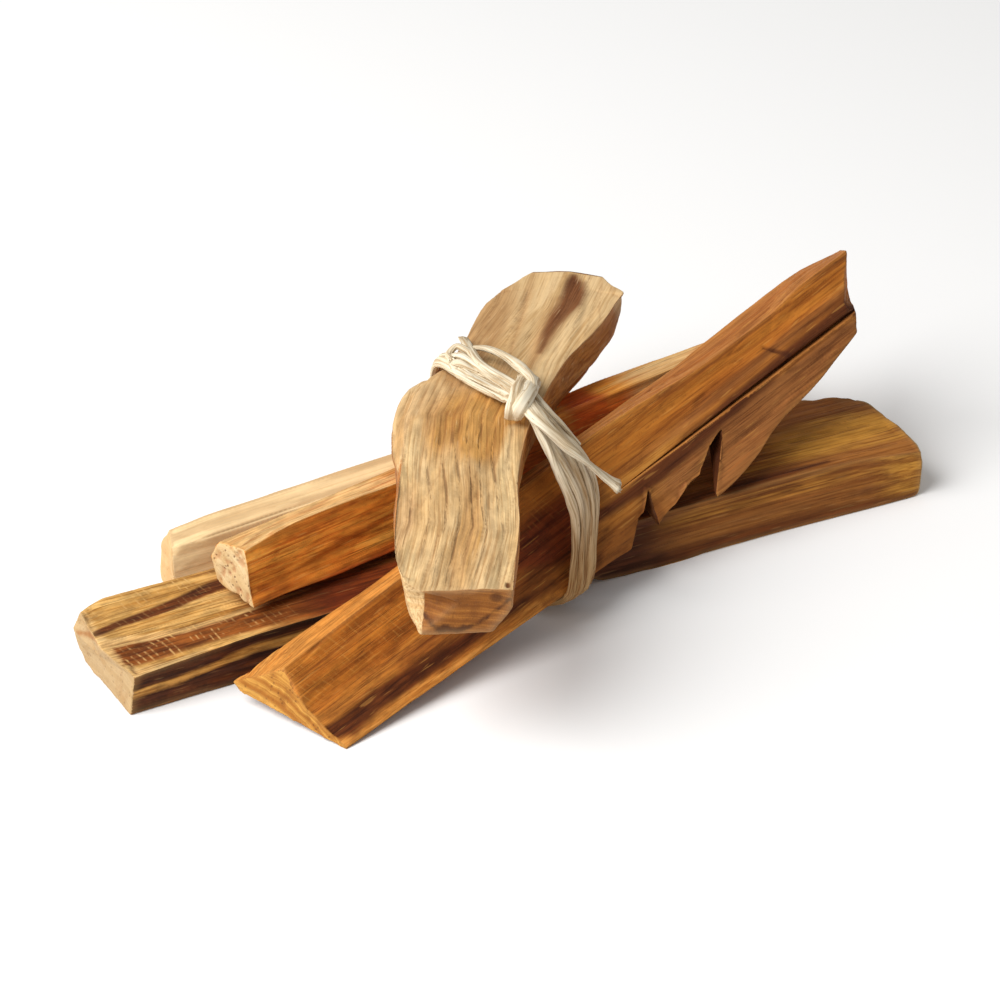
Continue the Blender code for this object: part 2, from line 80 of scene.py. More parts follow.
def tint(finish):
    """A colour setting for one piece; white leaves its finish as it is."""
    return colour_setting(finish.capitalize() + " tint", "Colour that the " + finish + " is multiplied by")


class WoodSettings(bpy.types.PropertyGroup):
    """How finely the wood is carved, and its colours."""

    grain_step: bpy.props.FloatProperty(
        name="Carving step", description="Longest edge of the carved mesh, in millimetres",
        default=0.42, min=0.2, max=1.0)
    fibre_depth: bpy.props.FloatProperty(
        name="Fibre depth", description="Depth of the grooves between fibres, in millimetres",
        default=0.09, min=0.0, max=0.5)
    striped_tint: tint("striped stick")
    pale_tint: tint("pale stick")
    orange_tint: tint("orange stick")
    golden_tint: tint("golden stick")
    cross_tint: tint("cross stick")


class TieSettings(bpy.types.PropertyGroup):
    """The raffia and its strands."""

    strand_width: bpy.props.FloatProperty(
        name="Strand width", description="Width of one flat strand of raffia",
        default=1.1 * MM, min=0.5 * MM, max=4.0 * MM, unit="LENGTH")
    strand_thickness: bpy.props.FloatProperty(
        name="Strand thickness", description="Thickness of one flat strand of raffia",
        default=0.75 * MM, min=0.2 * MM, max=2.0 * MM, unit="LENGTH")
    raffia_tint: tint("raffia")


class StageSettings(bpy.types.PropertyGroup):
    """The floor, the lights and the camera."""

    floor_colour: colour_setting("Floor colour", "Colour of the plain floor", (0.92, 0.92, 0.92))
    lens: bpy.props.FloatProperty(
        name="Lens", description="Focal length of the camera, in millimetres",
        default=135.4, min=20.0, max=300.0)


# ---------------------------------------------------------------- noise and shape helpers


def srgb(red, green, blue):
    """A colour given as three display values up to 255, as the linear colour a shader takes."""
    def linear(value):
        value /= 255.0
        return value / 12.92 if value <= 0.04045 else ((value + 0.055) / 1.055) ** 2.4

    return (linear(red), linear(green), linear(blue), 1.0)


def ease(low, high, value):
    """0 below low, 1 above high, and a smooth rise between them."""
    share = np.clip((value - low) / (high - low), 0.0, 1.0)
    return share * share * (3.0 - 2.0 * share)


def lattice_noise(points, seed):
    """Smooth noise between about -1 and 1 at an array of points; it varies over a distance of 1."""
    table = np.random.default_rng(seed).uniform(-1.0, 1.0, 4096)
    cell = np.floor(points).astype(np.int64)
    inside = points - cell
    weight = inside ** 3 * (inside * (inside * 6.0 - 15.0) + 10.0)
    total = np.zeros(len(points))
    for corner in itertools.product((0, 1), repeat=3):
        at = cell + np.array(corner)
        index = (at[:, 0] * 73856093 ^ at[:, 1] * 19349663 ^ at[:, 2] * 83492791) & 4095
        share = np.prod(np.where(np.array(corner) == 1, weight, 1.0 - weight), axis=1)
        total += table[index] * share
    return total


def fractal(points, scales, seed, octaves=3):
    """Noise in several sizes; scales gives its frequency per millimetre along, across and up."""
    scaled = points * np.array(scales)
    total, size, weight = np.zeros(len(points)), 1.0, 0.0
    for octave in range(octaves):
        total += lattice_noise(scaled + 17.3 * octave, seed + octave) * size
        weight += size
        scaled = scaled * 2.03
        size *= 0.5
    return total / weight


def unit(vectors, least=0.0):
    """Vectors of length 1."""
    return vectors / np.maximum(np.linalg.norm(vectors, axis=1), least)[:, None]


def distance_along(points):
    """How far along a curve each of its points lies."""
    return np.concatenate([[0.0], np.cumsum(np.linalg.norm(np.diff(points, axis=0), axis=1))])


def read_vectors(source, field, count):
    values = np.zeros(count * 3, np.float32)
    source.foreach_get(field, values)
    return values.reshape(-1, 3).astype(float)


def read_edges(mesh):
    edges = np.zeros(len(mesh.edges) * 2, np.int32)
    mesh.edges.foreach_get("vertices", edges)
    return edges.reshape(-1, 2)


def write_layer(mesh, name, values):
    """Leaves a number or a vector for every vertex on the mesh, for the shader to read."""
    kind, field = ("FLOAT_VECTOR", "vector") if values.ndim > 1 else ("FLOAT", "value")
    mesh.attributes.new(name, kind, "POINT").data.foreach_set(field, values.astype(np.float32).ravel())


def add_object(name, data):
    made = bpy.data.objects.new(name, data)
    bpy.context.scene.collection.objects.link(made)
    return made


def add_piece(name, mesh, material, node):
    """Puts a piece in the scene: it rides on the only body and stands for its CAD node."""
    mesh.materials.clear()
    mesh.materials.append(material)
    mesh.shade_smooth()
    mesh.update()
    piece = add_object(name, mesh)
    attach(piece, "root")
    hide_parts(node)


def distance_to_line(flat, line):
    """Distance of flat points from a line through a few places, and the share of its length there."""
    nearest = np.full(len(flat), np.inf)
    share = np.zeros(len(flat))
    for k, (a, b) in enumerate(zip(line[:-1], line[1:])):
        a, b = np.array(a, float), np.array(b, float)
        run = b - a
        t = np.clip(((flat - a) @ run) / (run @ run), 0.0, 1.0)
        away = np.linalg.norm(flat - a - t[:, None] * run, axis=1)
        closer = away < nearest
        nearest = np.where(closer, away, nearest)
        share = np.where(closer, (k + t) / (len(line) - 1), share)
    return nearest, share


class Carving:
    """The fine mesh of one stick, with its masks, heights and grain, in the stick's own directions."""

    PLANES = {"top": (0, 1), "side": (0, 2), "end": (1, 2)}

    def __init__(self, mesh, seed):
        count = len(mesh.vertices)
        self.seed = seed
        self.p = read_vectors(mesh.vertices, "co", count) / MM
        self.edges = read_edges(mesh)
        self.degree = np.maximum(np.bincount(self.edges.ravel(), minlength=count), 1)
        normals = read_vectors(mesh.vertex_normals, "vector", count)
        self.soften()
        self.thickness = self.spread(self.thinnest(wood_behind(mesh, self.p, normals), 3), 2)
        self.n = unit(self.spread(normals, 3), 1e-6)
        broad = unit(self.spread(self.n, 12), 1e-6)
        self.height = np.zeros(count)
        self.shift = np.zeros((count, 3))
        self.masks = {}
        self.grain = self.p.copy()
        self.top = ease(*FACES, broad[:, 2])
        self.near = ease(*FACES, -broad[:, 1])
        self.far = ease(*FACES, broad[:, 1])
        self.start = ease(*ENDS, -broad[:, 0])
        self.ends = np.maximum(self.start, ease(*ENDS, broad[:, 0]))

    def spread(self, values, rounds):
        """Values averaged with their neighbours on the mesh, several times over."""
        a, b = self.edges[:, 0], self.edges[:, 1]
        out = np.atleast_2d(values.T).T.astype(float)
        for _ in range(rounds):
            total = np.empty_like(out)
            for axis in range(out.shape[1]):
                total[:, axis] = (np.bincount(a, out[b, axis], len(out))
                                  + np.bincount(b, out[a, axis], len(out)))
            out = 0.5 * out + 0.5 * total / self.degree[:, None]
        return out if values.ndim > 1 else out[:, 0]

    def thinnest(self, values, rounds):
        """The smallest value within a few edges of each vertex."""
        a, b = self.edges[:, 0], self.edges[:, 1]
        for _ in range(rounds):
            least = values.copy()
            np.minimum.at(least, a, values[b])
            np.minimum.at(least, b, values[a])
            values = least
        return values

    def soften(self):
        """Takes the facets off the solid, and then swells it back to its size."""
        self.p = self.p + (self.spread(self.p, 1) - self.p)
        self.p = self.p - SWELLING * (self.spread(self.p, 1) - self.p)

    def noise(self, scales, seed, octaves=3):
        """Noise that follows the grain."""
        return fractal(self.grain, scales, self.seed * 101 + seed, octaves)

    def lines(self, scales, seed, width=0.07, octaves=2):
        """Long thin wandering lines along the grain."""
        return 1.0 - ease(0.0, width, np.abs(self.noise(scales, seed, octaves)))

    def band(self, line, width, soft=0.5, plane="top", ragged=0.35):
        """1 on a line drawn on a face; it fades out at half the width on both sides."""
        away, share = distance_to_line(self.p[:, self.PLANES[plane]], line)
        widths = np.atleast_1d(width).astype(float)
        width_here = np.interp(share, np.linspace(0.0, 1.0, len(widths)), widths)
        away = away + ragged * self.noise((0.12, 0.9, 0.9), 71)
        return 1.0 - ease(width_here / 2.0 - soft, width_here / 2.0 + soft, away)

    def patch(self, place, radii, plane="top", soft=0.5):
        """1 at a place on a face; it fades out at the edge of an oval round it."""
        flat = self.p[:, self.PLANES[plane]]
        away = np.linalg.norm((flat - np.array(place)) / np.array(radii), axis=1)
        away = away + 0.3 * self.noise((0.08, 0.5, 0.5), 73)
        return 1.0 - ease(1.0 - soft, 1.0 + soft, away)

    def paint(self, name, amount):
        """Adds to a mask, which keeps the stronger of what it holds and what it is given."""
        held = self.masks.get(name, np.zeros(len(self.p)))
        self.masks[name] = np.maximum(held, np.clip(amount, 0.0, 1.0))

    def stripe(self, name, face, line, width, soft=0.5, plane="top", share=1.0, ragged=0.35):
        """Paints a mask in a band along a line."""
        self.paint(name, face * self.band(line, width, soft, plane, ragged) * share)

    def spot(self, name, face, place, radii, soft=0.5, plane="top", share=1.0):
        """Paints a mask in an oval."""
        self.paint(name, face * self.patch(place, radii, plane, soft) * share)

    def cut(self, line, width, depth, face, plane="top", colour=1.0, ragged=0.2):
        """A crack: a narrow groove along a line, painted dark inside as shade."""
        mask = self.band(line, width, 0.24, plane, ragged) * face
        self.height -= depth * mask
        self.paint("crack", mask * colour)

    def split_faces(self, depth):
        """Fibres, ledges and waves, which every split face has along the grain."""
        split = 1.0 - self.ends
        fine = self.noise((0.05, 1.5, 1.5), 1, 3)
        broad = self.noise((0.02, 0.28, 0.28), 5, 2)
        step = self.noise((0.012, 0.42, 0.42), 9, 2) * 4.0
        ledge = np.floor(step) + ease(0.75, 1.0, step - np.floor(step))
        groove = self.lines((0.035, 0.7, 0.7), 13, 0.06)
        self.height += split * (depth * fine - 0.5 * depth + 0.15 * broad + 0.06 * ledge - 0.1)
        self.height -= split * groove * depth * 1.3 * ease(-0.1, 0.3, self.noise((0.06, 0.2, 0.2), 15, 1))
        # The grooves get a mask for painted shade
        self.paint("hollow", split * groove * 0.5)

    def rough_ends(self):
        """Torn fibres on both end faces."""
        self.height += self.ends * (0.07 * self.noise((0.3, 1.7, 1.7), 21, 3) - 0.03)
        self.paint("end", self.ends)

    def knock(self, place, radius, depth):
        """Rounds a corner off: it is drawn toward the wood round it."""
        away = np.linalg.norm(self.p - np.array(place), axis=1)
        inward = self.p[away < 3.0 * radius].mean(axis=0) - np.array(place)
        inward /= np.linalg.norm(inward)
        self.shift += depth * (1.0 - ease(0.0, radius, away))[:, None] * inward

    def wear_edges(self):
        """Rounds and nibbles the sharp edges unevenly."""
        hill = self.p - self.spread(self.p, 10)
        edge = self.spread(np.clip((hill * self.n).sum(axis=1) / SHARP, 0.0, 1.0), 3)
        bite = 0.35 + 0.65 * ease(-0.3, 0.5, self.noise((0.12, 0.4, 0.4), 31, 2))
        self.shift -= hill * (0.55 * edge * bite)[:, None]
        dark = np.maximum(self.masks["crack"], self.masks.get("dark_line", 0.0))
        self.paint("edge", self.spread(edge, 2) * (1.0 - np.clip(2.0 * dark, 0.0, 1.0)))

    def write(self, mesh, place):
        """Moves the vertices by their heights, and writes the masks and the grain onto the mesh."""
        self.height = np.clip(self.spread(self.height, 1), -0.3 * self.thickness, 0.05 + 0.1 * self.thickness)
        # Places lower than the smoothed surface get a mask for painted shade
        blurred = self.spread(self.height, 4)
        self.paint("hollow", np.clip((blurred - self.height) * 8.0, 0.0, 1.0))
        placed = self.p + self.n * self.height[:, None] + self.shift
        world = placed @ np.array(place.to_3x3()).T * MM + np.array(place.translation)
        world[:, 2] = np.maximum(world[:, 2], 0.0)
        mesh.vertices.foreach_set("co", world.astype(np.float32).ravel())
        for name, values in self.masks.items():
            write_layer(mesh, name, np.clip(values, 0.0, 1.0))
        write_layer(mesh, "grain", self.grain)


def wood_behind(mesh, points, normals):
    """How thick the wood is behind each point, so that carving never breaks through an edge."""
    polygons = [tuple(face.vertices) for face in mesh.polygons]
    solid = BVHTree.FromPolygons([tuple(p) for p in points], polygons)
    found = np.full(len(points), THICK_ENOUGH)
    for i, (point, normal) in enumerate(zip(points, normals)):
        hit = solid.ray_cast(Vector(point - normal * 0.02), Vector(-normal), THICK_ENOUGH)
        if hit[3] is not None:
            found[i] = hit[3]
    return found


# ---------------------------------------------------------------- shader helper


class Shader:
    """A short way to build a material's nodes."""

    def __init__(self, name):
        self.material = bpy.data.materials.new(name)
        self.material.use_nodes = True
        self.tree = self.material.node_tree
        self.tree.nodes.clear()
        self.output = self.tree.nodes.new("ShaderNodeOutputMaterial")
        self.body = self.tree.nodes.new("ShaderNodeBsdfPrincipled")
        self.tree.links.new(self.body.outputs["BSDF"], self.output.inputs["Surface"])

    def put(self, socket, value):
        """Links a socket, or sets it where the value is plain."""
        if isinstance(value, bpy.types.NodeSocket):
            self.tree.links.new(value, socket)
        else:
            socket.default_value = value

    def attribute(self, name, vector=False):
        node = self.tree.nodes.new("ShaderNodeAttribute")
        node.attribute_name = name
        return node.outputs["Vector" if vector else "Fac"]

    def maths(self, operation, first, second=0.0, third=0.0):
        node = self.tree.nodes.new("ShaderNodeMath")
        node.operation = operation
        for socket, value in zip(node.inputs, (first, second, third)):
            self.put(socket, value)
        return node.outputs[0]

    def length(self, vector):
        node = self.tree.nodes.new("ShaderNodeVectorMath")
        node.operation = "LENGTH"
        self.put(node.inputs[0], vector)
        return node.outputs["Value"]

    def scaled(self, vector, sizes):
        node = self.tree.nodes.new("ShaderNodeVectorMath")
        node.operation = "MULTIPLY"
        self.put(node.inputs[0], vector)
        self.put(node.inputs[1], sizes)
        return node.outputs["Vector"]

    def sum(self, *terms):
        """Values added up, each with its weight."""
        total = 0.0
        for value, weight in terms:
            total = self.maths("MULTIPLY_ADD", value, weight, total)
        return total

    def split(self, vector):
        node = self.tree.nodes.new("ShaderNodeSeparateXYZ")
        self.put(node.inputs[0], vector)
        return node.outputs

    def join(self, x, y, z):
        node = self.tree.nodes.new("ShaderNodeCombineXYZ")
        for socket, value in zip(node.inputs, (x, y, z)):
            self.put(socket, value)
        return node.outputs[0]

    def noise(self, vector, detail=3.0, roughness=0.55):
        node = self.tree.nodes.new("ShaderNodeTexNoise")
        for name, value in (("Vector", vector), ("Scale", 1.0), ("Detail", detail), ("Roughness", roughness)):
            self.put(node.inputs[name], value)
        return node.outputs["Fac"]

    def cells(self, vector):
        node = self.tree.nodes.new("ShaderNodeTexVoronoi")
        self.put(node.inputs["Vector"], vector)
        self.put(node.inputs["Scale"], 1.0)
        return node.outputs["Distance"]

    def between(self, value, low, high, out_low=0.0, out_high=1.0):
        """The value as a smooth rise from out_low at low to out_high at high."""
        node = self.tree.nodes.new("ShaderNodeMapRange")
        node.interpolation_type = "SMOOTHSTEP"
        for socket, given in zip(node.inputs, (value, low, high, out_low, out_high)):
            self.put(socket, given)
        return node.outputs[0]

    def fold(self, value):
        """How far a value is from the middle between whole numbers."""
        return self.maths("ABSOLUTE", self.maths("SUBTRACT", self.maths("FRACT", value), 0.5))

    def blend(self, factor, first, second, mode="MIX"):
        node = self.tree.nodes.new("ShaderNodeMix")
        node.data_type = "RGBA"
        node.blend_type = mode
        self.put(node.inputs["Factor"], factor)
        self.put(node.inputs[6], first)
        self.put(node.inputs[7], second)
        return node.outputs[2]

    def ramp(self, value, stops):
        node = self.tree.nodes.new("ShaderNodeValToRGB")
        held, stops = node.color_ramp.elements, list(stops)
        while len(held) < len(stops):
            held.new(0.5)
        for element, (place, colour) in zip(held, stops):
            element.position = place
            element.color = colour
        self.put(node.inputs[0], value)
        return node.outputs[0]

    def finish(self, colour, roughness, specular, relief, strength, depth):
        """Sets what the surface shows, with its relief as a bump so many metres deep."""
        self.put(self.body.inputs["Base Color"], colour)
        self.put(self.body.inputs["Roughness"], roughness)
        self.body.inputs["Specular IOR Level"].default_value = specular
        node = self.tree.nodes.new("ShaderNodeBump")
        self.put(node.inputs["Strength"], strength)
        self.put(node.inputs["Distance"], depth)
        self.put(node.inputs["Height"], relief)
        self.put(self.body.inputs["Normal"], node.outputs["Normal"])
        return self.material


# ---------------------------------------------------------------- wood


# What every stick's wood has, unless its own table below says otherwise: how far the rings sway, how
# strong the streaks, blotches, fibres, dark lines, dashes, end pores and shade in hollows are, and the bump
USUAL_WOOD = {"sway": 2.4, "contrast": 0.12, "fibres": 0.30, "specks": 0.35, "hollows": 0.7, "relief": 0.55}


def wood(name, look, tinted):
    """Palo santo: streaks that follow the rings, fibres, pores and flecks, under the carved masks."""
    look = {**USUAL_WOOD, **look}
    s = Shader(name)
    grain = s.attribute("grain", vector=True)
    x, y, z = s.split(grain)

    def figure(along, across, detail=3.0, roughness=0.55):
        """Noise drawn out along the grain; both are its frequencies per millimetre."""
        return s.noise(s.scaled(grain, (along, across, across)), detail, roughness)

    def around(along, across, lift, detail=3.0, roughness=0.55):
        """Noise that follows the rings."""
        return s.noise(s.join(s.maths("MULTIPLY", x, along), s.maths("MULTIPLY", ring, across), lift),
                       detail, roughness)

    slow = figure(0.03, 0.14, 2.0)
    pith_y, pith_z = look["pith"]
    across = s.join(0.0, s.maths("SUBTRACT", y, pith_y), s.maths("SUBTRACT", z, pith_z))
    ring = s.maths("MULTIPLY_ADD", slow, look["sway"], s.length(across))

    # Streaks that follow the rings run nearly the whole length, and fibres are short and fine
    broad = around(0.012, look["ring"], 3.7)
    narrow = around(0.028, look["ring"] * 3.6, 8.1, 3.0, 0.6)
    fibre = figure(0.07, 3.6, 3.0, 0.62)
    cloud = figure(0.06, 0.22)
    tone = s.sum((broad, 0.36), (narrow, 0.28), (fibre, 0.2), (cloud, 0.16))
    colour = s.ramp(s.between(tone, 0.5 - look["contrast"], 0.5 + look["contrast"]),
                    zip((0.0, 0.36, 0.7, 1.0), look["tones"]))
    deep, bright, crack, fleck = look["tones"][0], look["tones"][-1], look["crack"], look["fleck"]

    # The carved masks lay the stick's own stripes and shades over it, with torn rims
    rim = s.maths("SUBTRACT", s.sum((narrow, 1.0), (fibre, 0.9), (cloud, 0.5)), 1.2)
    streaked = s.between(s.sum((narrow, 0.6), (fibre, 0.4)), 0.40, 0.60)
    for mask, (first, second, ragged) in look["layers"].items():
        shifted = s.maths("MULTIPLY_ADD", rim, ragged, s.attribute(mask))
        cover = s.maths("MULTIPLY", s.between(shifted, 0.12, 0.88), s.between(s.attribute(mask), 0.02, 0.3))
        colour = s.blend(cover, colour, s.blend(streaked, first, second))

    # Blotches lighten and darken it
    mottle = s.between(figure(0.30, 0.9, 4.0, 0.65), 0.33, 0.67, -1.4 * look["mottle"], look["mottle"])
    mottle = s.maths("MULTIPLY_ADD", mottle, s.between(x, *CALMER, 1.0, 0.4), 1.0)
    colour = s.scaled(colour, s.join(mottle, mottle, mottle))

    # Fine fibres darken and lighten it, and thin dark lines run between them
    fibre_shade = s.between(fibre, 0.36, 0.50, look["fibres"], 0.0)
    fibre_shade = s.maths("MULTIPLY", fibre_shade, s.between(x, *CALMER, 1.0, 0.6))
    colour = s.blend(fibre_shade, colour, deep, "MULTIPLY")
    colour = s.blend(s.between(fibre, 0.54, 0.74, 0.0, 0.25), colour, bright, "SOFT_LIGHT")
    seam = s.maths("ABSOLUTE", s.maths("SUBTRACT", figure(0.03, 1.2, 2.0), 0.5))
    seam = s.maths("MULTIPLY", s.between(seam, 0.0, 0.022, 1.0, 0.0),
                   s.between(cloud, 0.42, 0.60, 0.0, look["seams"]))
    colour = s.blend(seam, colour, crack)

    # Short dark and light dashes
    dash = figure(0.26, 3.8, 1.0, 0.4)
    dark_dash = s.between(dash, 0.66, 0.78, 0.0, look["pores"])
    colour = s.blend(dark_dash, colour, crack)
    colour = s.blend(s.between(dash, 0.35, 0.25, 0.0, look["flecks"]), colour, fleck)

    # Light saw strokes straight across the grain, in broken rows
    beat = figure(0.14, 0.10, 0.0)
    tick = s.fold(s.sum((x, 1.3), (y, 0.30), (z, 0.30), (beat, 2.4)))
    row = figure(0.45, 0.75, 2.0, 0.6)
    faint = figure(2.2, 1.2, 2.0)
    stroke = s.maths("MULTIPLY", s.between(tick, 0.0, 0.24, 1.0, 0.0), s.between(row, 0.44, 0.60))
    stroke = s.maths("MULTIPLY", stroke, s.between(faint, 0.38, 0.60, 0.15, 0.85))
    colour = s.blend(s.maths("MULTIPLY", stroke, s.attribute("saw")), colour, fleck)

    # Wavy lines that flow with the grain
    flow = s.fold(s.sum((y, 0.62), (figure(0.045, 0.16, 1.0), 1.8)))
    flow = s.maths("MULTIPLY", s.between(flow, 0.02, 0.16, 1.0, 0.0),
                   s.between(figure(0.20, 1.1, 3.0, 0.7), 0.42, 0.60))
    flow = s.maths("MULTIPLY", flow, s.maths("MULTIPLY", s.attribute("flow"), 0.6))
    colour = s.blend(flow, colour, crack)

    # End grain: close rings, blotches and open pores
    ends = s.between(s.maths("MULTIPLY_ADD", rim, 0.5, s.attribute("end")), 0.36, 0.62)
    close = s.noise(s.join(s.maths("MULTIPLY", ring, 1.9), s.maths("MULTIPLY", x, 0.2), 1.3), 4.0, 0.7)
    blotch = figure(0.4, 0.42, 4.0, 0.6)
    first, second, third = look["end"]
    end_colour = s.blend(s.between(close, 0.38, 0.66), first, second)
    end_colour = s.blend(s.between(blotch, 0.50, 0.72, 0.0, 0.55), end_colour, third)
    speck = s.between(s.cells(s.scaled(grain, (0.5, 1.7, 1.7))), 0.10, 0.32, look["specks"], 0.0)
    speck = s.maths("MULTIPLY", speck, s.between(blotch, 0.40, 0.56))
    end_colour = s.blend(speck, end_colour, crack)
    banded = s.maths("MULTIPLY", s.between(s.attribute("end_band"), 0.2, 0.8), 0.85)
    colour = s.blend(ends, colour, s.blend(banded, end_colour, look["end_band"]))

    # Painted shade darkens the hollows and makes the cracks nearly black, and sharp edges are painted lighter
    colour = s.blend(s.maths("MULTIPLY", s.attribute("hollow"), look["hollows"]), colour, deep, "MULTIPLY")
    colour = s.blend(s.maths("MULTIPLY", s.attribute("edge"), 0.25), colour, fleck)
    colour = s.blend(s.between(s.attribute("crack"), 0.1, 0.85), colour, crack)

    relief = s.sum((narrow, 0.6), (fibre, 1.0), (dark_dash, -0.6), (seam, -0.8), (flow, -1.6))
    relief = s.maths("MULTIPLY", relief, s.maths("SUBTRACT", 1.0, ends))
    grit = s.maths("SUBTRACT", figure(2.0, 6.0), speck)
    relief = s.maths("ADD", relief, s.maths("MULTIPLY", grit, ends))
    return s.finish(s.scaled(colour, tinted), s.between(fibre, 0.3, 0.7, 0.74, 0.54), 0.18, relief,
                    look["relief"], 0.14 * MM)


STICK_PLACES = {
    # start in millimetres, heading and climb in degrees
    "striped_stick": ((-48.9, -6.9, 0.0), 0.0, 0.0),
    "pale_stick": ((-35.3, 10.9, 0.0), 5.5, 0.0),
    "orange_stick": ((-31.7, -2.9, 6.35), 11.2, 1.5),
    "golden_stick": ((-30.7, -23.5, 0.0), 17.7, 10.6),
    "cross_stick": ((-14.9, -31.4, 14.0), 53.2, 0.0),
}


def stick_matrix(node):
    """Where a stick's own directions start, and how they lie."""
    start, heading, climb = STICK_PLACES[node]
    place = (Vector(start) + Vector(CENTRING)) * MM
    turn = Matrix.Rotation(math.radians(heading), 4, "Z") @ Matrix.Rotation(-math.radians(climb), 4, "Y")
    return Matrix.Translation(place) @ turn


def fine_copy(node, step):
    """A copy of a CAD node in the stick's own directions, with every edge shorter than the step."""
    fine = bmesh.new()
    fine.from_mesh(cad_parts[node].data)
    fine.transform(stick_matrix(node).inverted())
    bmesh.ops.remove_doubles(fine, verts=fine.verts, dist=1e-6)
    bmesh.ops.triangulate(fine, faces=fine.faces)
    fine.verts.ensure_lookup_table()
    points = np.array([vertex.co for vertex in fine.verts]) / MM
    faces = np.array([[vertex.index for vertex in face.verts] for face in fine.faces])
    fine.free()
    while True:
        sides = np.sort(np.stack([faces, np.roll(faces, -1, axis=1)], axis=-1).reshape(-1, 2), axis=1)
        edges, where = np.unique(sides, axis=0, return_inverse=True)
        too_long = np.linalg.norm(points[edges[:, 0]] - points[edges[:, 1]], axis=1) > step
        if not too_long.any():
            break
        middle = np.full(len(edges), -1)
        middle[too_long] = len(points) + np.arange(too_long.sum())
        points = np.vstack([points, points[edges[too_long]].mean(axis=1)])
        faces = split_triangles(points, faces, middle[where.reshape(-1)].reshape(-1, 3))
    mesh = bpy.data.meshes.new(node + "_carved")
    mesh.from_pydata((points * MM).tolist(), [], faces.tolist())
    mesh.update()
    return mesh


def split_triangles(points, faces, middle):
    """Halves the sides of triangles that have a middle point; middle holds -1 for a side that stays."""
    split = middle >= 0
    count = split.sum(axis=1)
    made = [faces[count == 0]]
    # Turned round so that a lone split side comes first, and a lone whole side comes last
    after_whole = ((~split).argmax(axis=1) + 1) % 3
    first = np.where(count == 1, split.argmax(axis=1), np.where(count == 2, after_whole, 0))
    order = (first[:, None] + np.arange(3)) % 3
    corner = np.take_along_axis(faces, order, axis=1)
    half = np.take_along_axis(middle, order, axis=1)
    a, b, c = corner[count == 1].T
    m = half[count == 1][:, 0]
    made += [np.column_stack([a, m, c]), np.column_stack([m, b, c])]
    a, b, c = corner[count == 2].T
    m, n = half[count == 2][:, :2].T
    made.append(np.column_stack([m, b, n]))
    shorter = np.linalg.norm(points[a] - points[n], axis=1) < np.linalg.norm(points[m] - points[c], axis=1)
    made.append(np.where(shorter[:, None], np.column_stack([a, m, n]), np.column_stack([a, m, c])))
    made.append(np.where(shorter[:, None], np.column_stack([a, n, c]), np.column_stack([m, n, c])))
    a, b, c = corner[count == 3].T
    m, n, o = half[count == 3].T
    made += [np.column_stack([a, m, o]), np.column_stack([m, b, n]), np.column_stack([o, n, c]),
             np.column_stack([m, n, o])]
    return np.vstack(made)


